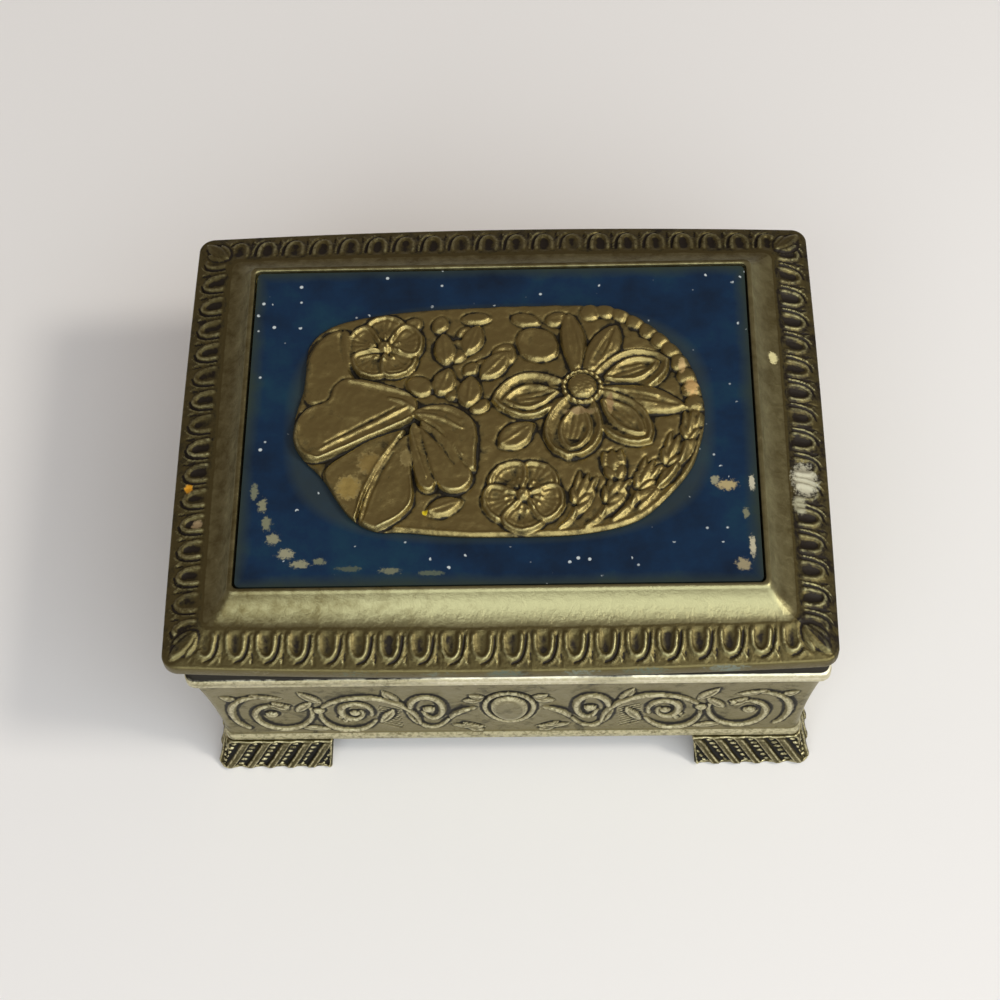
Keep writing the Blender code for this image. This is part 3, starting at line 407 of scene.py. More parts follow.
def antique_brass(name, patina, brass, worn, polish_and_highlight_tint, darkness=0.0, flecks=(),
                  depths=(0.005, 0.09), crests=(-0.008, -0.04)):
    """Cast yellow brass with a dark bronze patina, worn back to paler metal on its crests.

    The patina lies in the hollows, as a matt dark brown. The crests are paler where hands
    and cloths have rubbed them, in spots that also stand in for glints, as a painted highlight.
    Clouds about 6 mm across shade the metal between the two, and blotches of 1.5 mm break them
    up. Where the mark of wear and painted light is high, a paler tint is mixed in, less where
    the clouds and blotches are: a painted reflection and highlight on faces that catch the
    light, with some polish at random. The depths and crests are the hollows, in millimetres,
    that start and end each of them.
    """
    new = Finish(name)
    place = new.place()
    hollow, edge, wear_and_painted_light = (new.add("Attribute", {"attribute_name": kept}).outputs["Fac"]
                          for kept in ("hollow", "edge", "wear_and_painted_light"))
    turned = new.add("Mapping", {"Vector": place, "Rotation": (0.5, 0.8, 0.4)})
    clouds = new.noise(turned, 160.0, 6.0, 0.6)
    blotches = new.noise(turned, 650.0, 6.0, 0.7, 0.4)
    grain = new.noise(turned, 1600.0, 5.0, 0.7)
    clouded = new.math("MULTIPLY_ADD", clouds, 1.3, darkness - 1.5)
    stirred = new.math("MULTIPLY_ADD", blotches, 1.7, clouded)
    kept = new.math("MULTIPLY_ADD", wear_and_painted_light, -0.5, stirred)
    dark = new.math("ADD", new.remap(hollow, *depths), kept, clamp=True)
    # Where the wear mark is high, the polish tint comes in: a painted reflection on the lid's cove
    # and a painted highlight on the body's bead.
    painted_light_less_clouds = new.math("MULTIPLY_ADD", clouds, -0.9, wear_and_painted_light)
    painted_light_less_blotches = new.math("MULTIPLY_ADD", blotches, -1.1, painted_light_less_clouds)
    polish_and_highlight = new.remap(painted_light_less_blotches, -0.75, -0.15)
    # Paler crests in spots: rubbed metal, with painted glints as well. The worn tint is their
    # colour.
    rub_and_glint_spots = new.remap(grain, 0.35, 0.55)
    wear_and_glint = new.math("MULTIPLY", new.remap(edge, *crests), rub_and_glint_spots, clamp=True)
    metal = new.tones(dark, (0.0, brass), (0.3, brass), (0.8, patina))
    shade = new.mix(wear_and_glint, new.mix(polish_and_highlight, metal, polish_and_highlight_tint), worn)
    crusted = dark
    if flecks:
        shade, cover = new.patches(place, shade, flecks, 2.2)
        crusted = new.math("MULTIPLY_ADD", cover, 2.0, dark, clamp=True)
    beaten = new.bump(blotches, 0.7, 0.16)
    return new.surface({"Base Color": shade, "Roughness": new.remap(crusted, 0.0, 1.0, 0.38, 0.65),
                        "Metallic": new.remap(crusted, 0.4, 1.0, 1.0, 0.35),
                        "Normal": new.bump(grain, 0.7, 0.06, Normal=beaten)})


def navy_enamel(name):
    """Cold enamel: a thin coat of navy lacquer on sheet metal, dulled and chipped.

    Grime lies along its edges and round the plaque, and specks of dust on all of it.
    """
    new = Finish(name)
    place = new.place()
    clouds = new.noise(place, 90.0, 7.0, 0.65)
    tones = new.tones(clouds, (0.3, "#05182c"), (0.52, "#082642"), (0.72, "#113648"))
    centred = new.vector("SUBTRACT", place, (BOX_MIDDLE.x * MM, BOX_MIDDLE.y * MM, 0.0))
    apart = new.vector("ABSOLUTE", centred)
    margin = new.vector("MULTIPLY_ADD", apart, (-1 / MM, -1 / MM, 0.0),
                        (ENAMEL_HALF_LENGTH, ENAMEL_HALF_DEPTH, 0.0))
    sides = new.add("SeparateXYZ", {0: margin})
    inward = new.math("MINIMUM", sides, sides.outputs["Y"])
    ragged = new.math("MULTIPLY_ADD", clouds, -3.4, inward)
    edged = new.mix(new.remap(ragged, 0.4, -1.5, 0.0, 0.85), tones, "#2b352c")
    reach = new.vector("MULTIPLY", apart, (1 / PLAQUE_HALF_LENGTH / MM,
                                           1 / PLAQUE_HALF_DEPTH / MM, 0.0))
    cubed = new.vector("POWER", reach, (3.0, 3.0, 1.0))
    beside = new.vector("DOT_PRODUCT", cubed, (1.0, 1.0, 0.0)).outputs["Value"]
    ringed = new.mix(new.remap(beside, 1.16, 0.98, 0.0, 0.5), edged, "#343d36")
    shade, _ = new.patches(place, ringed, ENAMEL_CHIPS, 3.2)
    dust = new.add("TexVoronoi", {"Vector": place, "Scale": 520.0})
    few = new.remap(new.noise(place, 500.0), 0.54, 0.58)
    dusty = new.math("MULTIPLY", new.remap(dust, 0.16, 0.1), few)
    ripple = new.noise(place, 500.0, 4.0)
    return new.surface({"Base Color": new.mix(dusty, shade, "#c0c8cb"), "Roughness": 0.4,
                        "Metallic": 0.0, "Specular IOR Level": 0.3,
                        "Normal": new.bump(ripple, 0.25, 0.08)})


def velvet(name, base):
    """Short-pile rayon velvet: dark across the pile and pale where the light skims it."""
    new = Finish(name)
    place = new.place()
    brushed = new.noise(place, 90.0, 3.0)
    return new.surface({"Base Color": new.tones(brushed, (0.3, base), (0.75, "#2c3a5e")),
                        "Roughness": 0.95, "Sheen Weight": 0.5, "Sheen Roughness": 0.4,
                        "Sheen Tint": colour("#5a6fae"),
                        "Normal": new.bump(new.noise(place, 900.0, 3.0), 0.5, 0.15)})


def paper(name):
    """Matt white paper under the box."""
    return Finish(name).surface({"Base Color": colour("#eceaea"), "Roughness": 0.9})


# Wear that the photo shows, in millimetres from the middle of the lid.
PATCH_THICKNESS = 1.6    # how far above and below its height a patch reaches
ENAMEL_CHIPS = [
    (-33.4, -11.2, 0.5, 1.2, "#6c6f5c"), (-32.2, -13.4, 0.6, 1.1, "#7d7c64"),
    (-31.4, -16.2, 0.7, 1.0, "#74755f"), (-30.4, -18.6, 0.9, 0.9, "#84826a"),
    (-28.6, -21.0, 1.1, 0.8, "#8d8a72"), (-26.6, -22.6, 1.3, 0.6, "#85836b"),
    (-24.0, -22.2, 0.8, 0.5, "#6c6f5c"), (-20.0, -23.4, 1.6, 0.4, "#4a5349"),
    (-14.4, -23.8, 1.3, 0.5, "#6a6d5a"), (-9.0, -24.2, 1.5, 0.4, "#515a4e"),
    (31.0, -11.0, 1.3, 0.8, "#a8986e"), (29.4, -10.2, 0.6, 0.6, "#8d8a72"),
    (34.4, -10.8, 0.4, 1.2, "#b9b49e"), (32.6, -23.4, 0.9, 0.9, "#92876a"),
    (34.0, -20.6, 0.4, 1.6, "#b2ab92"), (33.4, -15.4, 0.4, 0.8, "#74755f")]
LID_FLECKS = [
    (-43.2, -8.4, 0.6, 0.8, "#d99a1e", 2.8), (-41.5, -14.4, 0.8, 0.7, "#a58f6c", 3.0),
    (42.0, -8.6, 1.8, 2.6, "#b4b09a", 3.0), (41.0, -12.6, 0.9, 1.4, "#9a967c", 3.2),
    (-33.0, -36.9, 3.4, 0.6, "#857b5e", 1.3), (-20.0, -37.2, 4.2, 0.6, "#5b6452", 1.3),
    (-8.0, -37.3, 3.4, 0.5, "#6c7566", 1.3), (1.0, -37.3, 4.0, 0.6, "#586150", 1.3),
    (11.0, -37.2, 3.2, 0.5, "#727a6c", 1.3), (20.0, -37.1, 4.4, 0.6, "#5a6453", 1.3),
    (31.0, -36.8, 4.0, 0.6, "#6e776a", 1.3), (38.7, 11.4, 0.7, 1.0, "#d8cf9a", 4.1)]
PLAQUE_FLECKS = [
    (26.8, 4.4, 0.9, 1.3, "#c9a56a"), (25.6, 8.0, 0.5, 1.2, "#b59a68"),
    (-20.4, -11.4, 1.6, 1.8, "#907a40"), (-17.6, -7.6, 1.5, 1.7, "#806b38"),
    (-12.6, -7.0, 0.8, 1.3, "#7c6c40"), (-9.9, -15.3, 0.4, 0.4, "#d9c21c"),
    (11.4, 0.4, 2.2, 0.5, "#86704a"), (15.4, 1.8, 0.5, 1.5, "#8a7048"),
    (-14.0, 4.4, 0.3, 0.3, "#e2d6a0")]

# The lid's polish tint colours the painted reflection on its cove.
LID_BRASS = antique_brass(
    "antique_brass_lid", "#1b1207", "#6a6140", "#a29c72", "#9b9670", darkness=0.1,
    flecks=LID_FLECKS, depths=(0.01, 0.2), crests=(-0.02, -0.12))
# The body's near-white polish tint colours the painted highlight on its bead.
BODY_BRASS = antique_brass(
    "antique_brass_body", "#1e190e", "#857d5b", "#cfc8a4", "#ece6cc", darkness=0.1,
    depths=(0.01, 0.16), crests=(-0.01, -0.06))
PLAQUE_BRASS = antique_brass(
    "antique_brass_plaque", "#1b1508", "#968758", "#aba173", "#968758", darkness=0.1,
    flecks=PLAQUE_FLECKS, depths=(0.01, 0.3), crests=(-0.04, -0.16))
FOOT_BRASS = antique_brass(
    "antique_brass_feet", "#0d0903", "#514a30", "#cbc298", "#514a30", darkness=0.15,
    depths=(0.005, 0.12), crests=(-0.01, -0.05))
PLAIN_BRASS = antique_brass("plain_brass", "#3a2f18", "#8b7440", "#cdb878", "#8b7440")
ENAMEL = navy_enamel("navy_enamel")
VELVET = velvet("lining_velvet", "#141c38")


# Relief: forms pressed into a ground, as a die presses them into sheet metal.

# Profiles of the forms: distance in from the edge, and height.
PILLOW = [(0.0, 0.14), (0.15, 0.4), (0.4, 0.6), (0.8, 0.74), (2.0, 0.84)]
SPOON = [(0.0, 0.16), (0.12, 0.5), (0.3, 0.8), (0.5, 0.78), (0.8, 0.42), (1.2, 0.24), (2.4, 0.16)]
LENS = [(0.0, 0.3), (0.12, 0.58), (0.28, 0.7), (0.45, 0.62), (0.75, 0.2), (1.2, 0.05)]
CURLED = [(0.0, 0.2), (0.15, 0.52), (0.35, 0.8), (0.6, 0.62), (0.85, 0.24), (1.2, 0.42),
          (1.5, 0.26), (2.4, 0.2)]
FIELD = [(0.0, 0.2), (0.12, 0.52), (0.35, 0.72), (0.7, 0.64), (1.6, 0.56), (5.0, 0.66)]
LOW = [(0.0, 0.06), (0.2, 0.26), (0.5, 0.4), (0.9, 0.36), (1.6, 0.3)]
CUT_WIDTH = 0.5          # the dark cut round a form
CUT_DEPTH = 0.2
FAR = 99.0               # further than any form reaches


def leaf_outline(length, width, blunt, fullest):
    """Outline of a leaf or petal along X: a lower blunt is fuller, fullest shifts its belly."""
    steps = 16
    edge = []
    for step in range(steps + 1):
        share = step / steps
        spread = math.sin(math.pi * share ** fullest) ** blunt
        edge.append((length * share, width / 2 * spread))
    return edge + [(x, -y) for x, y in edge[-2:0:-1]]


def placed(outline, root, heading):
    """An outline made along X, set at a root with a heading."""
    cosine, sine = math.cos(math.radians(heading)), math.sin(math.radians(heading))
    return [(root[0] + x * cosine - y * sine, root[1] + x * sine + y * cosine)
            for x, y in outline]


def point_at(middle, heading, reach, aside=0.0):
    """A place at this reach from a middle."""
    return placed([(reach, aside)], middle, heading)[0]


def round_outline(middle, radius, height=None):
    """A circle, or an oval where a height is given."""
    return [(middle[0] + radius * math.cos(math.pi * step / 12),
             middle[1] + (height or radius) * math.sin(math.pi * step / 12))
            for step in range(24)]


def from_stretch(x, y, start, end):
    """How far each place is from a stretch of a line, and how far along it that is."""
    run, rise = end[0] - start[0], end[1] - start[1]
    share = ((x - start[0]) * run + (y - start[1]) * rise) / max(run * run + rise * rise, 1e-9)
    share = np.clip(share, 0, 1)
    return np.hypot(x - start[0] - share * run, y - start[1] - share * rise), share


def edge_distance(outline, x, y):
    """Distance in from a closed outline, with a minus outside it."""
    nearest = np.full(x.shape, FAR)
    inside = np.zeros(x.shape, bool)
    for start, end in zip(outline, outline[1:] + outline[:1]):
        nearest = np.minimum(nearest, from_stretch(x, y, start, end)[0])
        if start[1] != end[1]:
            crossing = (end[0] - start[0]) * (y - start[1]) / (end[1] - start[1]) + start[0]
            inside ^= ((start[1] > y) != (end[1] > y)) & (x < crossing)
    return np.where(inside, nearest, -nearest)


class Relief:
    """A ground that forms are pressed into, one before the other."""

    def __init__(self, x, y):
        self.x, self.y, self.z = x, y, np.zeros(x.shape)

    def near(self, points, margin):
        low = np.min(points, 0) - margin
        high = np.max(points, 0) + margin
        return ((self.x > low[0]) & (self.x < high[0]) & (self.y > low[1]) & (self.y < high[1]))

    def lay(self, near, depth, profile, scale, cut):
        """Puts a form down where its depth is above 0, with a cut round its edge."""
        ground = self.z[near] - np.interp(depth, [-CUT_WIDTH, -0.06], [0, cut])
        self.z[near] = np.where(depth > 0, scale * np.interp(depth, *zip(*profile)), ground)

    def press(self, outline, profile, scale=1.0, cut=CUT_DEPTH):
        """A form with a closed outline, in front of what lies under it."""
        near = self.near(outline, CUT_WIDTH)
        depth = edge_distance(outline, self.x[near], self.y[near])
        self.lay(near, depth, profile, scale, cut)

    def leaf(self, root, heading, length, width, profile, scale=1.0, cut=CUT_DEPTH,
             blunt=0.8, fullest=1.0):
        """A leaf or petal from its root, in front of what lies under it."""
        outline = leaf_outline(length, width, blunt, fullest)
        self.press(placed(outline, root, heading), profile, scale, cut)

    def track(self, points, width):
        """How far each place near a line is from it and along it, and the line's half width."""
        near = self.near(points, width + CUT_WIDTH)
        x, y = self.x[near], self.y[near]
        away = np.full(x.shape, FAR)
        along = np.zeros(x.shape)
        for index, (start, end) in enumerate(zip(points, points[1:])):
            apart, share = from_stretch(x, y, start, end)
            along = np.where(apart < away, (index + share) / (len(points) - 1), along)
            away = np.minimum(away, apart)
        return near, away, width * (0.45 + 0.55 * np.sin(math.pi * along))

    def strap(self, points, width, profile, cut=CUT_DEPTH):
        """A band along a line, in front of what lies under it."""
        near, away, reach = self.track(points, width)
        self.lay(near, reach - away, profile, 1.0, cut)

    def line(self, points, width, rise):
        """A ridge along a line, or with a minus a groove, thinner at both ends."""
        near, away, reach = self.track(points, width)
        self.z[near] += rise * np.clip(1 - (away / reach) ** 2, 0, 1)

    def rib(self, root, heading, points, width, rise):
        """A line that is given along a leaf or petal."""
        self.line(placed(points, root, heading), width, rise)

    def dot(self, place, radius, rise):
        """A round bead."""
        near = self.near([place], radius)
        away = np.hypot(self.x[near] - place[0], self.y[near] - place[1])
        self.z[near] += rise * np.sqrt(np.clip(1 - (away / radius) ** 2, 0, 1))


# Lid casting, with its border of eggs and darts.

LID_COLUMNS = (450, 320, 370, 320)    # front, right, back, left
BAND_ROWS = 24
COVE_ROWS = 9
EGG = [(-1.5, 6.2), (-1.72, 3.6), (-1.6, 2.4), (-1.05, 1.5), (-0.15, 1.15), (0.65, 1.45),
       (1.15, 2.3), (1.3, 3.6), (1.15, 6.2)]
EGG_PROFILE = [(0.0, 0.1), (0.22, 0.3), (0.45, 0.26), (0.8, -0.04), (1.4, -0.16)]
EGG_LINES = [  # the cut and the ridge round an egg, and its dart: points, width, rise
    (smooth_line([(1.6, 4.5), (1.55, 3.4), (1.3, 2.2), (0.75, 1.35), (-0.3, 0.95)]), 0.25, -0.26),
    (smooth_line([(1.92, 4.4), (1.9, 3.2), (1.62, 2.0), (1.1, 1.1), (0.5, 0.75)]), 0.15, 0.22),
    ([(1.5, 1.7), (2.0, 0.9)], 0.18, 0.16), ([(-2.0, 2.2), (-2.0, 0.8)], 0.22, -0.2)]
EGG_CUT = 0.04
EGG_SEED = 3
EGG_HEIGHTS = (0.7, 1.15)    # the least and the most that is left of an egg
CORNER_LEAF_ROOT = (4.8, 4.8)
CORNER_LEAVES = [(203, 3.6, 1.5), (247, 3.6, 1.5), (225, 5.2, 1.9)]    # heading, length, width


def lid_section():
    """Insets and levels of the lid's rings, from under its plate round to the enamel's seat."""
    rings = [(COVE_HEAD + LID_WALL, CEILING_LEVEL), (BAND_WIDTH + LID_WALL, BAND_LEVEL - LID_WALL),
             (SEAT_WIDTH, 0.0), (EDGE_ROUND, 0.0)]
    rings += arc((EDGE_ROUND, EDGE_ROUND), EDGE_ROUND, 270, 180, 3)
    rings += [(0.0, LIP_HEIGHT / 2), (0.0, LIP_HEIGHT - EDGE_ROUND)]
    rings += arc((EDGE_ROUND, LIP_HEIGHT - EDGE_ROUND), EDGE_ROUND, 180, 90, 3)
    band_start = len(rings) - 1
    for row in range(1, BAND_ROWS + 1):
        share = row / BAND_ROWS
        rings.append((EDGE_ROUND + share * (BAND_WIDTH - EDGE_ROUND),
                      LIP_HEIGHT + share * (BAND_LEVEL - LIP_HEIGHT)))
    band_end = len(rings) - 1
    foot = BAND_WIDTH + RIDGE_WIDTH
    rings.append((foot, BAND_LEVEL))
    slope = math.atan2(COVE_RISE, COVE_WIDTH)
    for row in range(1, COVE_ROWS + 1):
        share = row / COVE_ROWS
        sag = COVE_SAG * 4 * share * (1 - share)
        rings.append((foot + share * COVE_WIDTH + sag * math.sin(slope),
                      BAND_LEVEL + share * COVE_RISE - sag * math.cos(slope)))
    seat = COVE_HEAD + FRAME_WIDTH
    top = BAND_LEVEL + COVE_RISE
    rings.append((seat - 2 * FRAME_ROUND, top))
    rings += arc((seat - FRAME_ROUND, top - FRAME_ROUND), FRAME_ROUND, 90, 0, 2)
    rings.append((seat, RECESS_LEVEL))
    return rings, band_start, band_end


def border_relief(x, y, side, along, inset):
    """Relief of the border: an egg and a dart, repeated, and leaves in the corners."""
    count = np.where(side % 2 == 0, EGGS_LONG_SIDE, EGGS_SHORT_SIDE)
    place = along / EGG_PITCH + count / 2
    number = np.floor(place)
    in_row = (number >= 0) & (number < count)
    border = Relief((place - number - 0.5) * EGG_PITCH, inset)
    border.press(EGG, EGG_PROFILE, cut=EGG_CUT)
    for points, width, rise in EGG_LINES:
        border.line(points, width, rise)
    worn = np.random.default_rng(EGG_SEED).uniform(*EGG_HEIGHTS, 4 * EGGS_LONG_SIDE)
    egg = np.clip(side * EGGS_LONG_SIDE + number, 0, len(worn) - 1).astype(int)
    eggs = border.z * in_row * worn[egg]
    corner = Relief(LID_HALF_LENGTH - np.abs(x), LID_HALF_DEPTH - np.abs(y))
    for heading, length, width in CORNER_LEAVES:
        corner.leaf(CORNER_LEAF_ROOT, heading, length, width, LOW, 0.9, cut=0.1, blunt=0.6)
    fade = np.interp(inset, [0, 0.5, BAND_WIDTH - 0.8, BAND_WIDTH - 0.2], FADE)
    return fade * np.where(corner.z != 0, corner.z, eggs)


def lid_painted_light(x, side, on_cove):
    """A painted reflection on the cove, most at the front, and painted shade on the border."""
    # The cove is brightest at the front and towards the right. The border is darkest on the right,
    # then the back and left.
    front_cove = np.interp(x, [-40, -25, -8, 12], [0.35, 0.55, 0.85, 1.05])
    cove = np.choose(side, [front_cove, 0.62, 0.45, 0.45])
    return np.where(on_cove, cove, np.choose(side, [0.0, -1.0, -0.55, -0.5]))


def carve_lid():
    """The lid casting, with its border carved and its cove and rim plain."""
    rings, band_start, band_end = lid_section()
    lid, column, ring = lattice("cast_lid", sum(LID_COLUMNS), len(rings) - 1)
    inset, level = np.array(rings)[ring].T
    bow = np.clip(1 - inset / COVE_HEAD, 0, 1)
    x, y, side, along = rounded_plan(
        column, LID_COLUMNS, LID_HALF_LENGTH - inset, LID_HALF_DEPTH - inset,
        LID_CORNER - LID_CORNER_TIGHTENING * inset, LONG_SIDE_BOW * bow, SHORT_SIDE_BOW * bow)
    carved = (ring >= band_start) & (ring <= band_end)
    level[carved] += border_relief(*(part[carved] for part in (x, y, side, along, inset)))
    put(lid, x + BOX_MIDDLE.x, y + BOX_MIDDLE.y, level + LID_LEVEL)
    # The lid's painted reflection and painted shade, kept as a mark for its finish.
    mark(lid, "wear_and_painted_light", lid_painted_light(x, side, ring > band_end))
    mark(lid, "carved", carved & (ring < band_end))
    close_up(lid)
    mark_weathering(lid, passes=24, share=marks_of(lid, "carved"))
    finish_piece(lid, "lid", "lid_casting", LID_BRASS)


# Relief medallion: flowers, leaves and buds on a plaque.

PLAQUE_OUTLINE = [
    (-21.2, 17.1), (-14.1, 18.4), (0.2, 19.0), (14.5, 19.1), (17.3, 18.1), (20.8, 15.9),
    (23.9, 12.8), (26.9, 8.9), (28.6, 2.2), (28.4, -2.0), (27.4, -6.0), (26.2, -9.2),
    (23.1, -13.1), (19.2, -17.0), (13.8, -18.5), (8.5, -19.1), (0.4, -19.1), (-6.3, -19.0),
    (-13.0, -18.1), (-16.4, -18.3), (-19.8, -16.4), (-22.0, -13.2), (-24.2, -9.2),
    (-27.1, -6.4), (-28.6, -3.6), (-28.5, -0.1), (-28.0, 2.4), (-27.1, 6.6), (-27.4, 11.7),
    (-26.1, 14.3), (-24.0, 16.0)]

DAISY = (11.6, 4.4)
DAISY_PETALS = [  # heading in degrees, length, width, bluntness of the ends
    (98, 13.2, 3.6, 0.6), (65, 12.0, 4.6, 0.7), (21, 13.2, 7.2, 0.62),
    (-13, 15.0, 4.4, 0.8), (-44, 13.0, 6.8, 0.6), (189, 12.9, 7.6, 0.75), (-101, 11.9, 8.2, 0.5)]
ROSE = (-16.2, 11.8)
BLOSSOM = (3.4, -12.9)
STEM_LEAVES = [  # root, heading, length, width
    ((-7.4, 8.6), 96, 5.6, 3.2), ((-4.6, 10.4), 72, 5.4, 3.2), ((-2.6, 6.2), 48, 6.2, 3.4),
    ((-8.4, 3.4), 72, 5.0, 3.4), ((-4.4, 1.4), 84, 5.4, 3.6), ((0.0, -5.2), 38, 6.3, 4.0),
    ((-9.8, -15.4), 20, 5.4, 3.0)]
SOFT_LEAVES = [  # low and worn: middle, length, width, heading
    ((-12.3, 15.8), 3.0, 2.4, 40), ((-8.4, 15.7), 3.0, 2.3, 70), ((-4.7, 14.3), 2.8, 2.0, 20),
    ((-3.3, 16.7), 4.4, 2.1, 0), ((3.7, 16.3), 4.4, 2.4, -15), ((8.2, 16.4), 3.6, 2.4, 10),
    ((-5.9, 11.1), 4.2, 3.2, 80), ((0.6, 10.1), 4.6, 3.4, 60), ((5.4, 12.0), 6.8, 5.6, 140),
    ((-1.7, 8.2), 3.8, 2.8, -20), ((-3.9, 7.9), 2.8, 2.2, 40), ((-6.5, 4.6), 4.2, 3.0, 100),
    ((-11.1, 5.1), 4.2, 3.4, -30), ((-2.6, 1.6), 3.2, 2.2, 30)]
BUDS = [  # foot of the stem, foot of the bud, heading, length, width
    ((8.2, -18.0), (10.4, -14.4), 68, 5.4, 2.8), ((11.8, -17.8), (14.5, -14.2), 60, 5.4, 2.8),
    ((15.4, -16.8), (18.9, -12.0), 62, 5.4, 2.8), ((19.0, -15.0), (22.8, -8.2), 66, 5.4, 2.8),
    ((22.2, -11.6), (25.9, -4.2), 78, 5.0, 2.6)]
SCALLOPS = [(12.9, 17.6), (15.2, 17.9), (17.4, 17.3), (19.4, 16.0), (21.2, 14.4), (22.8, 12.6),
            (24.2, 10.7), (25.3, 8.6), (26.2, 6.4), (26.8, 4.1), (27.1, 1.7), (27.0, -0.8)]

# Outlines of the larger forms.
LEAF_BEHIND = [(-18.6, 5.4), (-21.0, 7.7), (-20.9, 12.4), (-21.4, 15.6), (-24.8, 14.6),
               (-27.0, 11.2), (-27.6, 6.0), (-26.8, 2.0), (-22.0, 2.0)]
BIG_FAN = [(-11.6, 3.4), (-15.9, 5.4), (-19.3, 6.4), (-21.6, 6.7), (-23.2, 5.2), (-23.6, 2.6),
           (-26.9, 1.9), (-28.4, -0.8), (-28.6, -4.0), (-27.0, -6.6), (-24.6, -7.2),
           (-20.4, -4.9), (-16.6, -2.9), (-12.6, -1.4), (-11.0, 0.6)]
SECOND_FAN = [(-12.0, -1.6), (-17.6, -3.6), (-21.0, -5.8), (-24.0, -8.2), (-23.6, -10.4),
              (-22.2, -13.2), (-20.6, -16.2), (-19.2, -16.6), (-17.6, -10.6), (-14.6, -5.0)]
THIRD_FAN = [(-12.0, -2.0), (-15.2, -5.6), (-17.8, -11.0), (-19.2, -16.2), (-17.4, -18.0),
             (-15.0, -17.6), (-12.4, -15.4), (-11.3, -13.4), (-11.9, -9.4), (-11.6, -5.4)]
BELL_LOBES = [
    [(-11.9, -0.6), (-10.2, -2.4), (-8.9, -6.5), (-8.1, -10.6), (-9.1, -12.6), (-11.1, -11.6),
     (-11.9, -7.5), (-12.5, -3.0)],
    [(-11.4, -0.2), (-8.4, -1.4), (-5.8, -4.2), (-4.2, -7.6), (-3.2, -10.4), (-4.8, -12.4),
     (-7.4, -12.5), (-8.9, -10.4), (-10.2, -5.4)],
    [(-12.2, 0.6), (-9.6, 1.8), (-6.4, 1.7), (-3.5, -0.6), (-2.8, -3.2), (-3.1, -6.2),
     (-3.0, -9.4), (-4.4, -8.6), (-6.4, -4.8), (-9.0, -1.9), (-11.6, -0.4)]]
LOWER_RIM = [(-14.0, -17.4), (-6.3, -18.4), (0.4, -18.6), (8.4, -18.5), (13.7, -17.9),
             (18.9, -16.4), (22.8, -12.7), (25.8, -9.0), (27.0, -6.0), (27.9, -2.0)]


def daisy(relief):
    """The large daisy: petals that differ as in the photo, round a seeded dome."""
    for heading, length, width, blunt in DAISY_PETALS:
        slim = width < 5
        relief.leaf(DAISY, heading, length, width, PILLOW if slim else SPOON, blunt=blunt,
                    fullest=1.3)
        if slim:
            relief.rib(DAISY, heading, [(4.0, 0.0), (length * 0.9, 0.0)], 0.6, -0.26)
        else:
            inner = leaf_outline(length * 0.64, width * 0.56, blunt + 0.1, 1.1)
            inner = [(x + length * 0.25, y + 0.3) for x, y in inner]
            relief.press(placed(inner, DAISY, heading), LENS, 0.9, 0.12)
        for side in (-1, 0, 1):
            rib = [(2.6, 0.4 * side), (length * 0.45, 0.9 * side), (length * 0.7, 0.7 * side)]
            relief.rib(DAISY, heading, rib, 0.42, 0.16)
    relief.press(round_outline(DAISY, 2.9), [(0.0, 0.5), (0.4, 0.7), (0.8, 0.45)])
    ring = 18
    for i in range(ring):
        relief.dot(point_at(DAISY, 360 * i / ring, 2.55), 0.36, 0.34)
    relief.press(round_outline(DAISY, 2.05), [(0.0, 0.7), (0.3, 1.05), (0.9, 1.3), (2.0, 1.45)])
    golden = 137.508
    seeds = 34
    for i in range(seeds):
        reach = 1.8 * math.sqrt((i + 0.5) / seeds)
        relief.dot(point_at(DAISY, golden * i, reach), 0.24, 0.14)


def small_flower(relief, centre, first_heading, length, width, seeds, seed_reach):
    """Five petals with curled ends round a button, with a ring of stamens."""
    for i in range(5):
        heading = first_heading + 72 * i
        relief.leaf(centre, heading, length, width, CURLED, blunt=0.62, fullest=1.5)
        for side in (-1, 0, 1):
            vein = [(length * 0.5, 0.4 * side), (length * 0.84, 1.1 * side)]
            relief.rib(centre, heading, vein, 0.3, -0.1)
    for i in range(seeds):
        heading = 360 * (i + 0.5) / seeds
        relief.rib(centre, heading, [(1.0, 0.0), (seed_reach, 0.0)], 0.17, 0.22)
        relief.dot(point_at(centre, heading, seed_reach), 0.26, 0.3)
    relief.press(round_outline(centre, 0.95), [(0.0, 0.5), (0.25, 0.85), (0.9, 0.95)])
    for i in range(3):
        relief.dot(point_at(centre, 120 * i + 30, 0.42), 0.3, 0.3)


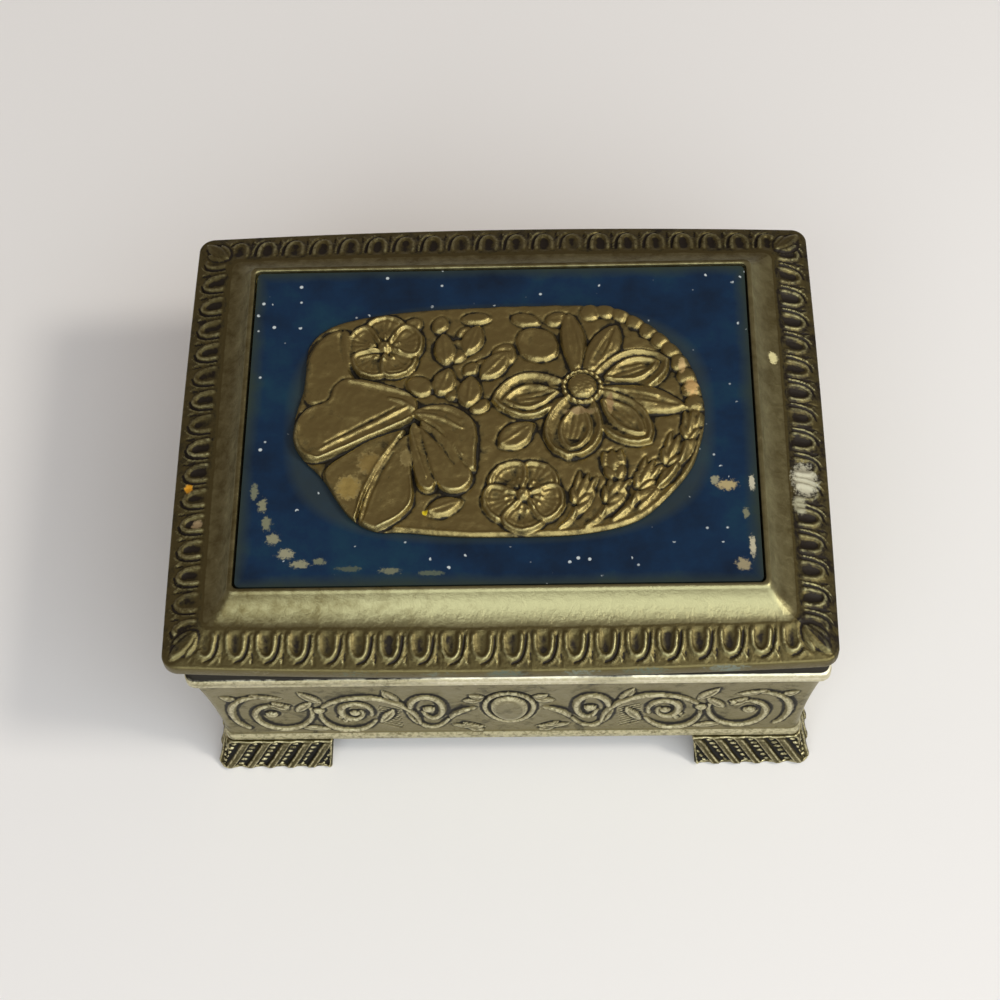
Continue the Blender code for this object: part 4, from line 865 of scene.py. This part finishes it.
def fans(relief):
    """The big leaves at the left, whose folds run together at the foot of the bell."""
    relief.press(rounded(LEAF_BEHIND), LOW, 1.25)
    relief.line(smooth_line([(-19.4, 6.0), (-21.6, 8.6), (-22.6, 12.6), (-22.4, 15.2)]), 0.5, -0.25)
    relief.press(rounded(THIRD_FAN), FIELD, 0.9)
    relief.press(rounded(SECOND_FAN), FIELD, 0.8)
    relief.press(rounded(BIG_FAN), FIELD, 1.05)
    folds = [
        ([(-24.6, -5.4), (-22.3, -3.9), (-19.0, -2.3), (-16.0, -0.7), (-12.8, 1.2)], 0.42, 0.34),
        ([(-25.2, -6.9), (-22.0, -5.4), (-18.4, -3.8), (-14.6, -1.9), (-12.2, -0.4)], 0.36, 0.3),
        ([(-23.9, -4.4), (-20.6, -2.4), (-17.0, -0.4), (-14.4, 1.2)], 0.4, -0.22),
        ([(-19.4, -16.4), (-18.6, -12.7), (-17.2, -9.4), (-15.6, -6.3), (-13.0, -2.4)], 0.4, 0.42),
        ([(-18.4, -16.6), (-17.6, -12.9), (-16.2, -9.4), (-14.4, -6.0)], 0.4, -0.25),
        ([(-16.4, -17.6), (-13.9, -16.5), (-12.3, -15.0), (-11.6, -13.2), (-12.0, -9.8)],
         0.36, 0.34),
        ([(-21.0, 6.0), (-17.6, 5.2), (-14.4, 4.2), (-11.4, 3.0)], 0.4, 0.34),
        ([(-15.4, 2.8), (-13.4, 2.2), (-11.6, 0.8)], 0.36, 0.4),
        ([(-27.8, -1.0), (-28.1, -3.6), (-27.0, -5.8), (-25.0, -6.6)], 0.36, 0.3)]
    for points, width, rise in folds:
        relief.line(smooth_line(points), width, rise)


def bell(relief):
    """The bell flower that hangs from the fans: three lobes, with veins."""
    for lobe in BELL_LOBES:
        relief.press(rounded(lobe), FIELD, 1.2)
    veins = [([(-11.4, 0.0), (-8.4, -0.4), (-5.0, -2.4)], 0.3),
             ([(-11.4, -1.2), (-8.4, -4.2), (-6.0, -8.2)], -0.3),
             ([(-10.8, -1.0), (-7.4, -3.8), (-5.0, -6.8)], 0.28),
             ([(-12.2, -2.2), (-11.2, -6.0), (-9.8, -10.2)], 0.3),
             ([(-10.6, 0.8), (-7.6, 0.8), (-5.0, -0.8)], -0.2)]
    for points, rise in veins:
        relief.line(smooth_line(points), 0.34, rise)


def bud(relief, root, heading, length, width):
    """Three narrow petals with a slit between, held in two sepals."""
    for lean in (-14, 14, 0):
        relief.leaf(root, heading + lean, length, width * 0.46, PILLOW, 0.95, blunt=0.7,
                    fullest=0.95)
    for side in (-1, 1):
        foot = point_at(root, heading, 0.0, 0.2 * side)
        relief.leaf(foot, heading + 26 * side, length * 0.5, width * 0.34, PILLOW, 0.8, blunt=0.7)


def model_relief(relief):
    """Every form of the plaque, from the lowest to the one in front."""
    for place in SCALLOPS:
        relief.press(round_outline(place, 1.42), PILLOW, 0.62)
    for middle, length, width, heading in SOFT_LEAVES:
        root = point_at(middle, heading, -length / 2)
        relief.leaf(root, heading, length, width, LOW, 1.15, blunt=0.55)
    small_flower(relief, ROSE, 90, 5.8, 6.0, 10, 2.2)
    fans(relief)
    for root, heading, length, width in STEM_LEAVES:
        relief.leaf(root, heading, length, width, LOW, 1.5, blunt=0.7, fullest=0.9)
        relief.rib(root, heading, [(0.4, 0.0), (length * 0.8, 0.0)], 0.26, 0.22)
    bell(relief)
    for foot, root, heading, length, width in BUDS:
        bend = ((foot[0] + root[0]) / 2 + 0.7, (foot[1] + root[1]) / 2 - 0.3)
        relief.leaf(bend, heading - 12, 5.6, 1.5, PILLOW, 0.7)
        relief.line(smooth_line([foot, bend, root]), 0.55, 0.5)
        bud(relief, root, heading, length, width)
    small_flower(relief, BLOSSOM, 54, 5.9, 6.2, 16, 2.5)
    bud(relief, (16.0, -10.6), 96, 5.0, 4.4)
    daisy(relief)
    relief.line(smooth_line(LOWER_RIM), 0.32, 0.22)


def plaque_plan(u, v):
    """Lays a square grid of -1 to 1 out to the plaque's outline, with even rows."""
    outline = np.array(rounded(PLAQUE_OUTLINE))
    headings = np.arctan2(outline[:, 1], outline[:, 0])
    order = np.argsort(headings)
    headings, reaches = headings[order], np.hypot(*outline[order].T)
    heading = np.arctan2(v * PLAQUE_HALF_DEPTH, u * PLAQUE_HALF_LENGTH)
    reach = np.interp(heading, headings, reaches, period=2 * math.pi)
    share = np.maximum(np.abs(u), np.abs(v))
    return share * reach * np.cos(heading), share * reach * np.sin(heading)


def carve_medallion():
    """The plaque, pressed from a lattice, with a straight edge down to the panel."""
    plaque, column, row = lattice("cast_medallion", PLAQUE_COLUMNS, PLAQUE_ROWS)
    u, v = 2 * column / PLAQUE_COLUMNS - 1, 2 * row / PLAQUE_ROWS - 1
    x, y = plaque_plan(u, v)
    relief = Relief(x, y)
    model_relief(relief)
    inward = (1 - np.maximum(np.abs(u), np.abs(v))) * PLAQUE_HALF_DEPTH
    crown = PLAQUE_CROWN * (1 - (x / PLAQUE_HALF_LENGTH) ** 2 - (y / PLAQUE_HALF_DEPTH) ** 2)
    top = PLAQUE_LEVEL + PLAQUE_EDGE + np.maximum(crown, -0.1)
    rounding = np.interp(inward, [0, 0.1, 0.25], [-0.3, -0.1, 0])
    uneven = sum(deep * np.array([noise.noise((waves * a, waves * b, seed))
                                  for a, b in zip(x, y)]) for deep, waves, seed in PLAQUE_DENTS)
    put(plaque, x + BOX_MIDDLE.x, y + BOX_MIDDLE.y,
        np.maximum(top + rounding + uneven + relief.z, PLAQUE_LEVEL + PLAQUE_LEAST))
    modify(plaque, "SMOOTH", factor=0.5, iterations=4)
    mark(plaque, "wear_and_painted_light", np.interp(inward, [0.2, 0.7], [-0.7, 0]))
    mark_weathering(plaque, passes=36)
    open_mesh(plaque)
    bpy.ops.mesh.select_mode(type="EDGE")
    bpy.ops.mesh.select_all(action="SELECT")
    bpy.ops.mesh.region_to_loop()
    bpy.ops.mesh.extrude_edges_move()
    foot = Vector((0.0, 0.0, PLAQUE_LEVEL * MM))
    bpy.ops.transform.resize(value=(1, 1, 0), center_override=foot)
    bpy.ops.object.mode_set(mode="OBJECT")
    close_up(plaque)
    finish_piece(plaque, "lid", "relief_medallion", PLAQUE_BRASS)


# Body casting, with a frieze of scrolls.

FRIEZE_SCROLLS = [  # middle, half width, half height, first heading, sweep, last size
    ((4.6, 6.0), 3.9, 5.0, 85, -70, 1.0),        # stem off the boss
    ((11.3, 10.6), 3.1, 6.8, 215, 480, 0.3),     # first curl
    ((20.4, 4.0), 7.6, 12.0, 175, -135, 1.0),    # stem that arches over the second curl
    ((21.8, 9.8), 2.4, 3.9, 200, -400, 0.35),    # second curl
    ((22.8, 8.6), 4.0, 5.4, 205, 160, 1.0),      # loop under it
    ((32.6, 9.8), 4.8, 6.6, 165, 290, 0.4),      # third curl
    ((35.6, 9.6), 3.6, 6.4, 100, -160, 1.0)]     # end scroll
FRIEZE_LEAVES = [  # root, heading, length, width
    ((6.4, 13.6), 160, 3.4, 2.0), ((5.6, 16.0), 205, 2.6, 1.4), ((15.4, 12.4), 72, 6.2, 1.7),
    ((16.2, 10.6), -66, 5.6, 1.6), ((26.2, 13.4), 58, 5.4, 1.8), ((27.6, 14.0), -58, 4.6, 1.7),
    ((31.4, 15.2), 20, 5.0, 1.5), ((30.6, 4.6), 196, 5.0, 1.6), ((6.8, 5.4), 232, 4.6, 2.0),
    ((3.6, 3.6), 10, 5.0, 1.4), ((31.0, 11.0), 54, 3.6, 1.9), ((40.0, 16.4), 215, 3.0, 1.6)]
FRIEZE_BALLS = [  # place and radius
    ((11.3, 10.8), 0.95), ((21.8, 9.6), 0.8), ((26.8, 10.6), 0.85), ((33.6, 9.4), 0.95),
    ((31.2, 12.4), 0.5), ((23.4, 6.6), 0.4), ((24.0, 7.8), 0.35)]
SCROLL_WIDTH = 1.35
FRIEZE_CUT = 0.1
HATCH_LINES = 9              # fine lines engraved beside the second curl
HATCH_FOOT = 3.4
HATCH_PITCH = 0.85
ENGRAVED = (0.24, -0.16)     # width and depth of an engraved line
SIDE_FRIEZE_SCALE = 0.865    # the short sides have no boss, so their halves close up
SIDE_FRIEZE_SHIFT = 4.2


def face_inset(height):
    share = np.clip((height - FACE_FOOT) / (FACE_HEAD - FACE_FOOT), 0, 1)
    straight = FACE_FOOT_INSET + share * (FACE_HEAD_INSET - FACE_FOOT_INSET)
    return straight + FACE_HOLLOW * 4 * share * (1 - share)


def spiral(middle, half_width, half_height, start, sweep, last):
    """Points along a scroll, which tightens mostly towards its end."""
    steps = round(abs(sweep) / 15)
    points = []
    for step in range(steps + 1):
        share = step / steps
        angle = math.radians(start + sweep * share)
        size = 1 + (last - 1) * share ** 1.6
        points.append((middle[0] + half_width * size * math.cos(angle),
                       middle[1] + half_height * size * math.sin(angle)))
    return points


SCROLL_PROFILE = [(0.0, 0.04), (0.2, 0.22), (0.45, 0.5), (0.6, 0.56), (0.75, 0.5)]
BOSS_MIDDLE = 11.45
BOSS_RING = [(0.0, 0.1), (0.2, 0.36), (0.45, 0.42), (0.8, 0.12), (1.0, 0.0)]
BOSS_DOME = [(0.0, 0.1), (0.25, 0.42), (0.7, 0.66), (1.5, 0.8), (2.8, 0.86)]
BODY_COLUMNS = (430, 210, 300, 210)   # front, right, back, left
FACE_ROWS = 60
BEAD_AND_NECK = [    # inset and height, up from the head of the face to the rim
    (0.25, 21.4), (0.08, 21.6), (0.0, 21.9), (0.0, 22.6), (0.0, 23.3), (0.08, 23.5),
    (0.25, 23.6), (NECK_INSET, 23.85), (NECK_INSET, 27.5), (0.52, 27.75), (0.7, BODY_HEIGHT)]


def frieze_relief(along, height):
    """Relief of one half of the frieze, which both halves of each face share."""
    frieze = Relief(along, height)
    for row in range(HATCH_LINES):
        foot = HATCH_FOOT + HATCH_PITCH * row
        frieze.line([(15.4, foot), (18.4, foot + 1.9)], *ENGRAVED)
    for root, heading, length, width in FRIEZE_LEAVES:
        frieze.leaf(root, heading, length, width, PILLOW, 0.5, FRIEZE_CUT)
        frieze.rib(root, heading, [(0.3, 0.0), (length * 0.9, 0.0)], *ENGRAVED)
    for scroll in FRIEZE_SCROLLS:
        frieze.strap(spiral(*scroll), SCROLL_WIDTH / 2, SCROLL_PROFILE, FRIEZE_CUT)
    for place, radius in FRIEZE_BALLS:
        frieze.press(round_outline(place, radius), PILLOW, 0.7)
    frieze.press(round_outline((0.0, BOSS_MIDDLE), 3.8, 5.9), BOSS_RING)
    frieze.press(round_outline((0.0, BOSS_MIDDLE), 2.7, 4.8), BOSS_DOME)
    ends = [FACE_FOOT, FACE_FOOT + 0.5, FACE_HEAD - 0.5, FACE_HEAD]
    return frieze.z * np.interp(height, ends, FADE)


def cavity_inset(height):
    share = (height - LEDGE_HEIGHT) / (BODY_HEIGHT - LEDGE_HEIGHT)
    return BASE_INSET + BODY_WALL + share * (NECK_INSET - BASE_INSET)


def body_section():
    """Insets, heights and corner radii of the body's rings, up outside and down inside."""
    rings = [(BASE_INSET + 0.25, 0.0), (BASE_INSET, 0.25), (BASE_INSET, 1.5)]
    face_start = len(rings)
    for row in range(FACE_ROWS + 1):
        height = FACE_FOOT + (FACE_HEAD - FACE_FOOT) * row / FACE_ROWS
        rings.append((face_inset(height), height))
    face_end = len(rings) - 1
    rings += BEAD_AND_NECK
    outside = len(rings)
    mouth, ledge = cavity_inset(BODY_HEIGHT), cavity_inset(LEDGE_HEIGHT)
    rings += [(mouth - 0.2, BODY_HEIGHT), (mouth, BODY_HEIGHT - 0.2), (ledge, LEDGE_HEIGHT),
              (ledge + LEDGE_WIDTH, LEDGE_HEIGHT), (ledge + LEDGE_WIDTH, 0.0), rings[0]]
    radii = np.where(np.arange(len(rings)) < outside, BODY_CORNER, CAVITY_CORNER)
    radii[-1] = BODY_CORNER
    return rings, radii, face_start, face_end


def carve_body():
    """The body casting: hollow faces with their frieze, bead, neck and the cavity inside."""
    rings, radii, face_start, face_end = body_section()
    body, column, ring = lattice("cast_body", sum(BODY_COLUMNS), len(rings) - 1)
    inset, height = np.array(rings)[ring].T
    half_x, half_y = BODY_HALF_LENGTH - inset, BODY_HALF_DEPTH - inset
    x, y, side, along = rounded_plan(column, BODY_COLUMNS, half_x, half_y, radii[ring])
    carved = (ring >= face_start) & (ring <= face_end)
    on_long_side = side % 2 == 0
    reach = np.abs(along)
    reach = np.where(on_long_side, reach, reach / SIDE_FRIEZE_SCALE + SIDE_FRIEZE_SHIFT)
    rise = np.zeros(len(x))
    rise[carved] = frieze_relief(reach[carved], height[carved])
    x += rise * np.choose(side, [0, 1, 0, -1])
    y += rise * np.choose(side, [-1, 0, 1, 0])
    put(body, x + BODY_MIDDLE.x, y + BODY_MIDDLE.y, height + BODY_LEVEL)
    # Painted light: the bead brightens towards the right as a painted highlight, and the neck under
    # the lid's overhang is darkened as a painted shadow. The face is a little darker all over.
    bead_painted_highlight = np.interp(x, [-40, -12, -6, 8, 14, 20, 36], [0.3, 0.35, 0.9, 0.9, 0.5, 0.9, 1.2])
    on_neck = (height > BEAD_TOP) & (height < RIM_FOOT)
    mark(body, "wear_and_painted_light", np.where(on_neck, -1.4, np.where(height > FACE_HEAD, bead_painted_highlight, -0.3)))
    close_up(body)
    mark_weathering(body, passes=12)
    finish_piece(body, "body", "body_casting", BODY_BRASS)


# Feet.

RIB_PITCH = 3.0
RIB_LEAN = 0.31
GROOVE_DEPTH = 0.5
GROOVE_HALF_WIDTH = 0.85
FOOT_BEAD_RADIUS = 0.3
FOOT_BEAD_PITCH = 0.85
FOOT_VOXEL = 0.15
FOOT_FACE = 1.2          # how deep behind its corner a foot's outer face may lie
FOOT_OUTSET = [(0.0, 1.2), (0.6, 1.8), (2.79, 1.116), (5.6, 0.5), (6.2, 0.2)]


def off_pitch(values, pitch):
    """How far each value is from the nearest step of a pitch."""
    return values - np.rint(values / pitch) * pitch


def carve_foot(node):
    """A foot from its solid, with deeper grooves between its ribs and beads in them."""
    foot = from_node(node, "cast_" + node)
    modify(foot, "REMESH", mode="VOXEL", voxel_size=FOOT_VOXEL * MM)
    modify(foot, "SMOOTH", factor=0.5, iterations=1)
    places = spots(foot)
    normals = vertex_normals(foot)
    x, y, height = places.T
    outset = np.interp(height, *zip(*FOOT_OUTSET))
    corner_x = BODY_HALF_LENGTH - BASE_INSET + outset
    corner_y = BODY_HALF_DEPTH - BASE_INSET + outset
    from_x = corner_x - np.abs(x - BODY_MIDDLE.x)
    from_y = corner_y - np.abs(y - BODY_MIDDLE.y)
    on_front = np.abs(normals[:, 1]) > np.abs(normals[:, 0])
    run = np.where(on_front, from_x, from_y)
    outer = np.where(on_front, from_y, from_x) < FOOT_FACE
    across = off_pitch(run - RIB_LEAN * height, RIB_PITCH)
    away = np.hypot(across, off_pitch(height, FOOT_BEAD_PITCH)) / FOOT_BEAD_RADIUS
    groove = -GROOVE_DEPTH * np.clip(1.4 - (across / GROOVE_HALF_WIDTH) ** 2, 0, 1)
    beads = FOOT_BEAD_RADIUS * np.sqrt(np.clip(1 - away ** 2, 0, 1))
    flat = (np.hypot(normals[:, 0], normals[:, 1]) > 0.8) & outer
    fade = np.interp(height, [0.3, 0.7, 5.6, 6.0], FADE)
    put(foot, *(places + normals * ((groove + beads) * flat * fade)[:, None]).T)
    mark_weathering(foot, passes=14)
    finish_piece(foot, "body", node, FOOT_BRASS)


# Padded lining. The pads are shaped from the form that stuffing gives them.

PAD_COLUMNS = (96, 64, 96, 64)
PAD_ROWS = 26
PAD_CORNER = 2.0
PAD_DRAW_IN = 0.5        # how far the sides pull in between the corners
PAD_SEAM = 1.1           # height of the seam round a pad
PAD_CROWN = 0.36         # the share of a pad's height that is its crown
PAD_BOW_REACH = 8.0      # how far in from its sides a pad is drawn in
GATHER_HEIGHT = 0.09
GATHER_REACH = 5.0


def pad_section(half_depth, thickness, crown):
    """Insets and heights of a pad's rings, from its flat back over the seam to its middle."""
    rings = [(1.2, 0.0), (0.45, 0.08), (0.12, 0.4), (0.0, 0.75), (0.06, PAD_SEAM - 0.12),
             (0.3, PAD_SEAM), (0.06, PAD_SEAM + 0.12), (0.0, PAD_SEAM + 0.3),
             (0.1, PAD_SEAM + 0.6), (0.35, thickness - 0.2), (0.7, thickness)]
    for row in range(1, PAD_ROWS + 1):
        share = row / PAD_ROWS
        rings.append((0.7 + share * (half_depth - 1.1), thickness + crown * (1 - (1 - share) ** 2)))
    return rings


def sew_pad(node, body, hangs):
    """A velvet pad with a sewn edge, whose sides pull in and whose seam gathers the cloth."""
    low, high = (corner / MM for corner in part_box(node))
    half_x, half_y = (high.x - low.x) / 2, (high.y - low.y) / 2
    depth = high.z - low.z
    crown = PAD_CROWN * depth
    rings = pad_section(half_y, depth - crown, crown)
    pad, column, ring = lattice("velvet_" + node, sum(PAD_COLUMNS), len(rings) - 1)
    inset, height = np.array(rings)[ring].T
    bow = -PAD_DRAW_IN * np.clip(1 - inset / PAD_BOW_REACH, 0, 1)
    x, y, _, along = rounded_plan(column, PAD_COLUMNS, half_x - inset, half_y - inset,
                                  np.maximum(PAD_CORNER - 0.1 * inset, 0.3), bow, bow)
    gathers = np.sin(along * 2.6) * np.sin(along * 0.9 + 1.0)
    gathers *= GATHER_HEIGHT * np.clip(1 - inset / GATHER_REACH, 0, 1)
    height += gathers * (height > PAD_SEAM)
    level = high.z - height if hangs else low.z + height
    put(pad, x + (low.x + high.x) / 2, y + (low.y + high.y) / 2, level)
    close_up(pad)
    finish_piece(pad, body, node, VELVET)


def cover_wall(node):
    """Velvet over a card, which rounds its edges."""
    cover = from_node(node, "velvet_" + node)
    modify(cover, "BEVEL", width=0.35 * MM, segments=3, limit_method="ANGLE")
    finish_piece(cover, "body", node, VELVET)


carve_lid()
carve_medallion()
carve_body()
sew_pad("base_lining_pad", "body", False)
sew_pad("lid_lining_pad", "lid", True)
for lining_node in ("wall_lining_right", "wall_lining_back", "wall_lining_left",
                    "wall_lining_front"):
    cover_wall(lining_node)
for foot_node in ("foot_front_left", "foot_front_right", "foot_back_left", "foot_back_right"):
    carve_foot(foot_node)

for node in ("bottom_plate", "hinge_leaf_body_left", "hinge_leaf_body_right", "hinge_pin_left",
             "hinge_pin_right", "hinge_leaf_lid_left", "hinge_leaf_lid_right"):
    coat(NODES[node].data, PLAIN_BRASS)
coat(NODES["enamel_panel"].data, ENAMEL)


# Camera, floor and light.

CAMERA_TARGET = (-0.611, -0.625, 20.0)
CAMERA_DISTANCE = 324.7
CAMERA_ELEVATION = 1.02548
CAMERA_AZIMUTH = 0.06427
CAMERA_ROLL = -0.06863
CAMERA_LENS = 79.645
LAMP_AIM = (0, 0, 0.03)      # in metres, like the lamps' places and sizes


def set_camera():
    camera = bpy.data.objects.new("camera", bpy.data.cameras.new("camera"))
    bpy.context.scene.collection.objects.link(camera)
    camera.data.lens = CAMERA_LENS
    camera.data.sensor_width = 36.0
    camera.data.clip_start = 10 * MM
    back = Vector((math.sin(CAMERA_AZIMUTH) * math.cos(CAMERA_ELEVATION),
                   -math.cos(CAMERA_AZIMUTH) * math.cos(CAMERA_ELEVATION),
                   math.sin(CAMERA_ELEVATION)))
    right = (-back).cross(Vector((0, 0, 1))).normalized()
    up = right.cross(-back)
    tilted_right = right * math.cos(CAMERA_ROLL) + up * math.sin(CAMERA_ROLL)
    tilted_up = up * math.cos(CAMERA_ROLL) - right * math.sin(CAMERA_ROLL)
    turn = Matrix((tilted_right, tilted_up, back)).transposed().to_4x4()
    place = (Vector(CAMERA_TARGET) + back * CAMERA_DISTANCE) * MM
    camera.matrix_world = Matrix.Translation(place) @ turn
    bpy.context.scene.camera = camera


def soft_box(name, place, width, height, power, tint):
    """An oblong studio lamp behind a diffuser."""
    lamp = bpy.data.lights.new(name, "AREA")
    lamp.shape = "RECTANGLE"
    lamp.size = width
    lamp.size_y = height
    lamp.energy = power
    lamp.color = colour(tint)[:3]
    holder = bpy.data.objects.new(name, lamp)
    bpy.context.scene.collection.objects.link(holder)
    holder.location = place
    holder.rotation_euler = (Vector(LAMP_AIM) - Vector(place)).to_track_quat("-Z", "Y").to_euler()


def set_stage():
    bpy.ops.mesh.primitive_plane_add(size=3.0, location=(0, 0, -0.05 * MM))
    floor = settle(named("floor"))
    floor.data.materials.append(paper("white_paper"))
    world = bpy.data.worlds.new("room")
    world.use_nodes = True
    bpy.context.scene.world = world
    bpy.context.scene.view_settings.view_transform = "Standard"
    background = world.node_tree.nodes["Background"]
    background.inputs["Color"].default_value = colour("#f3e1d3")
    background.inputs["Strength"].default_value = 0.3
    soft_box("window", (0.3, -0.82, 0.72), width=2.2, height=1.2, power=18.5, tint="#f2fbff")
    soft_box("lamp", (0.6, -0.2, 0.75), width=0.16, height=0.16, power=3.0, tint="#fff8ea")


set_camera()
set_stage()
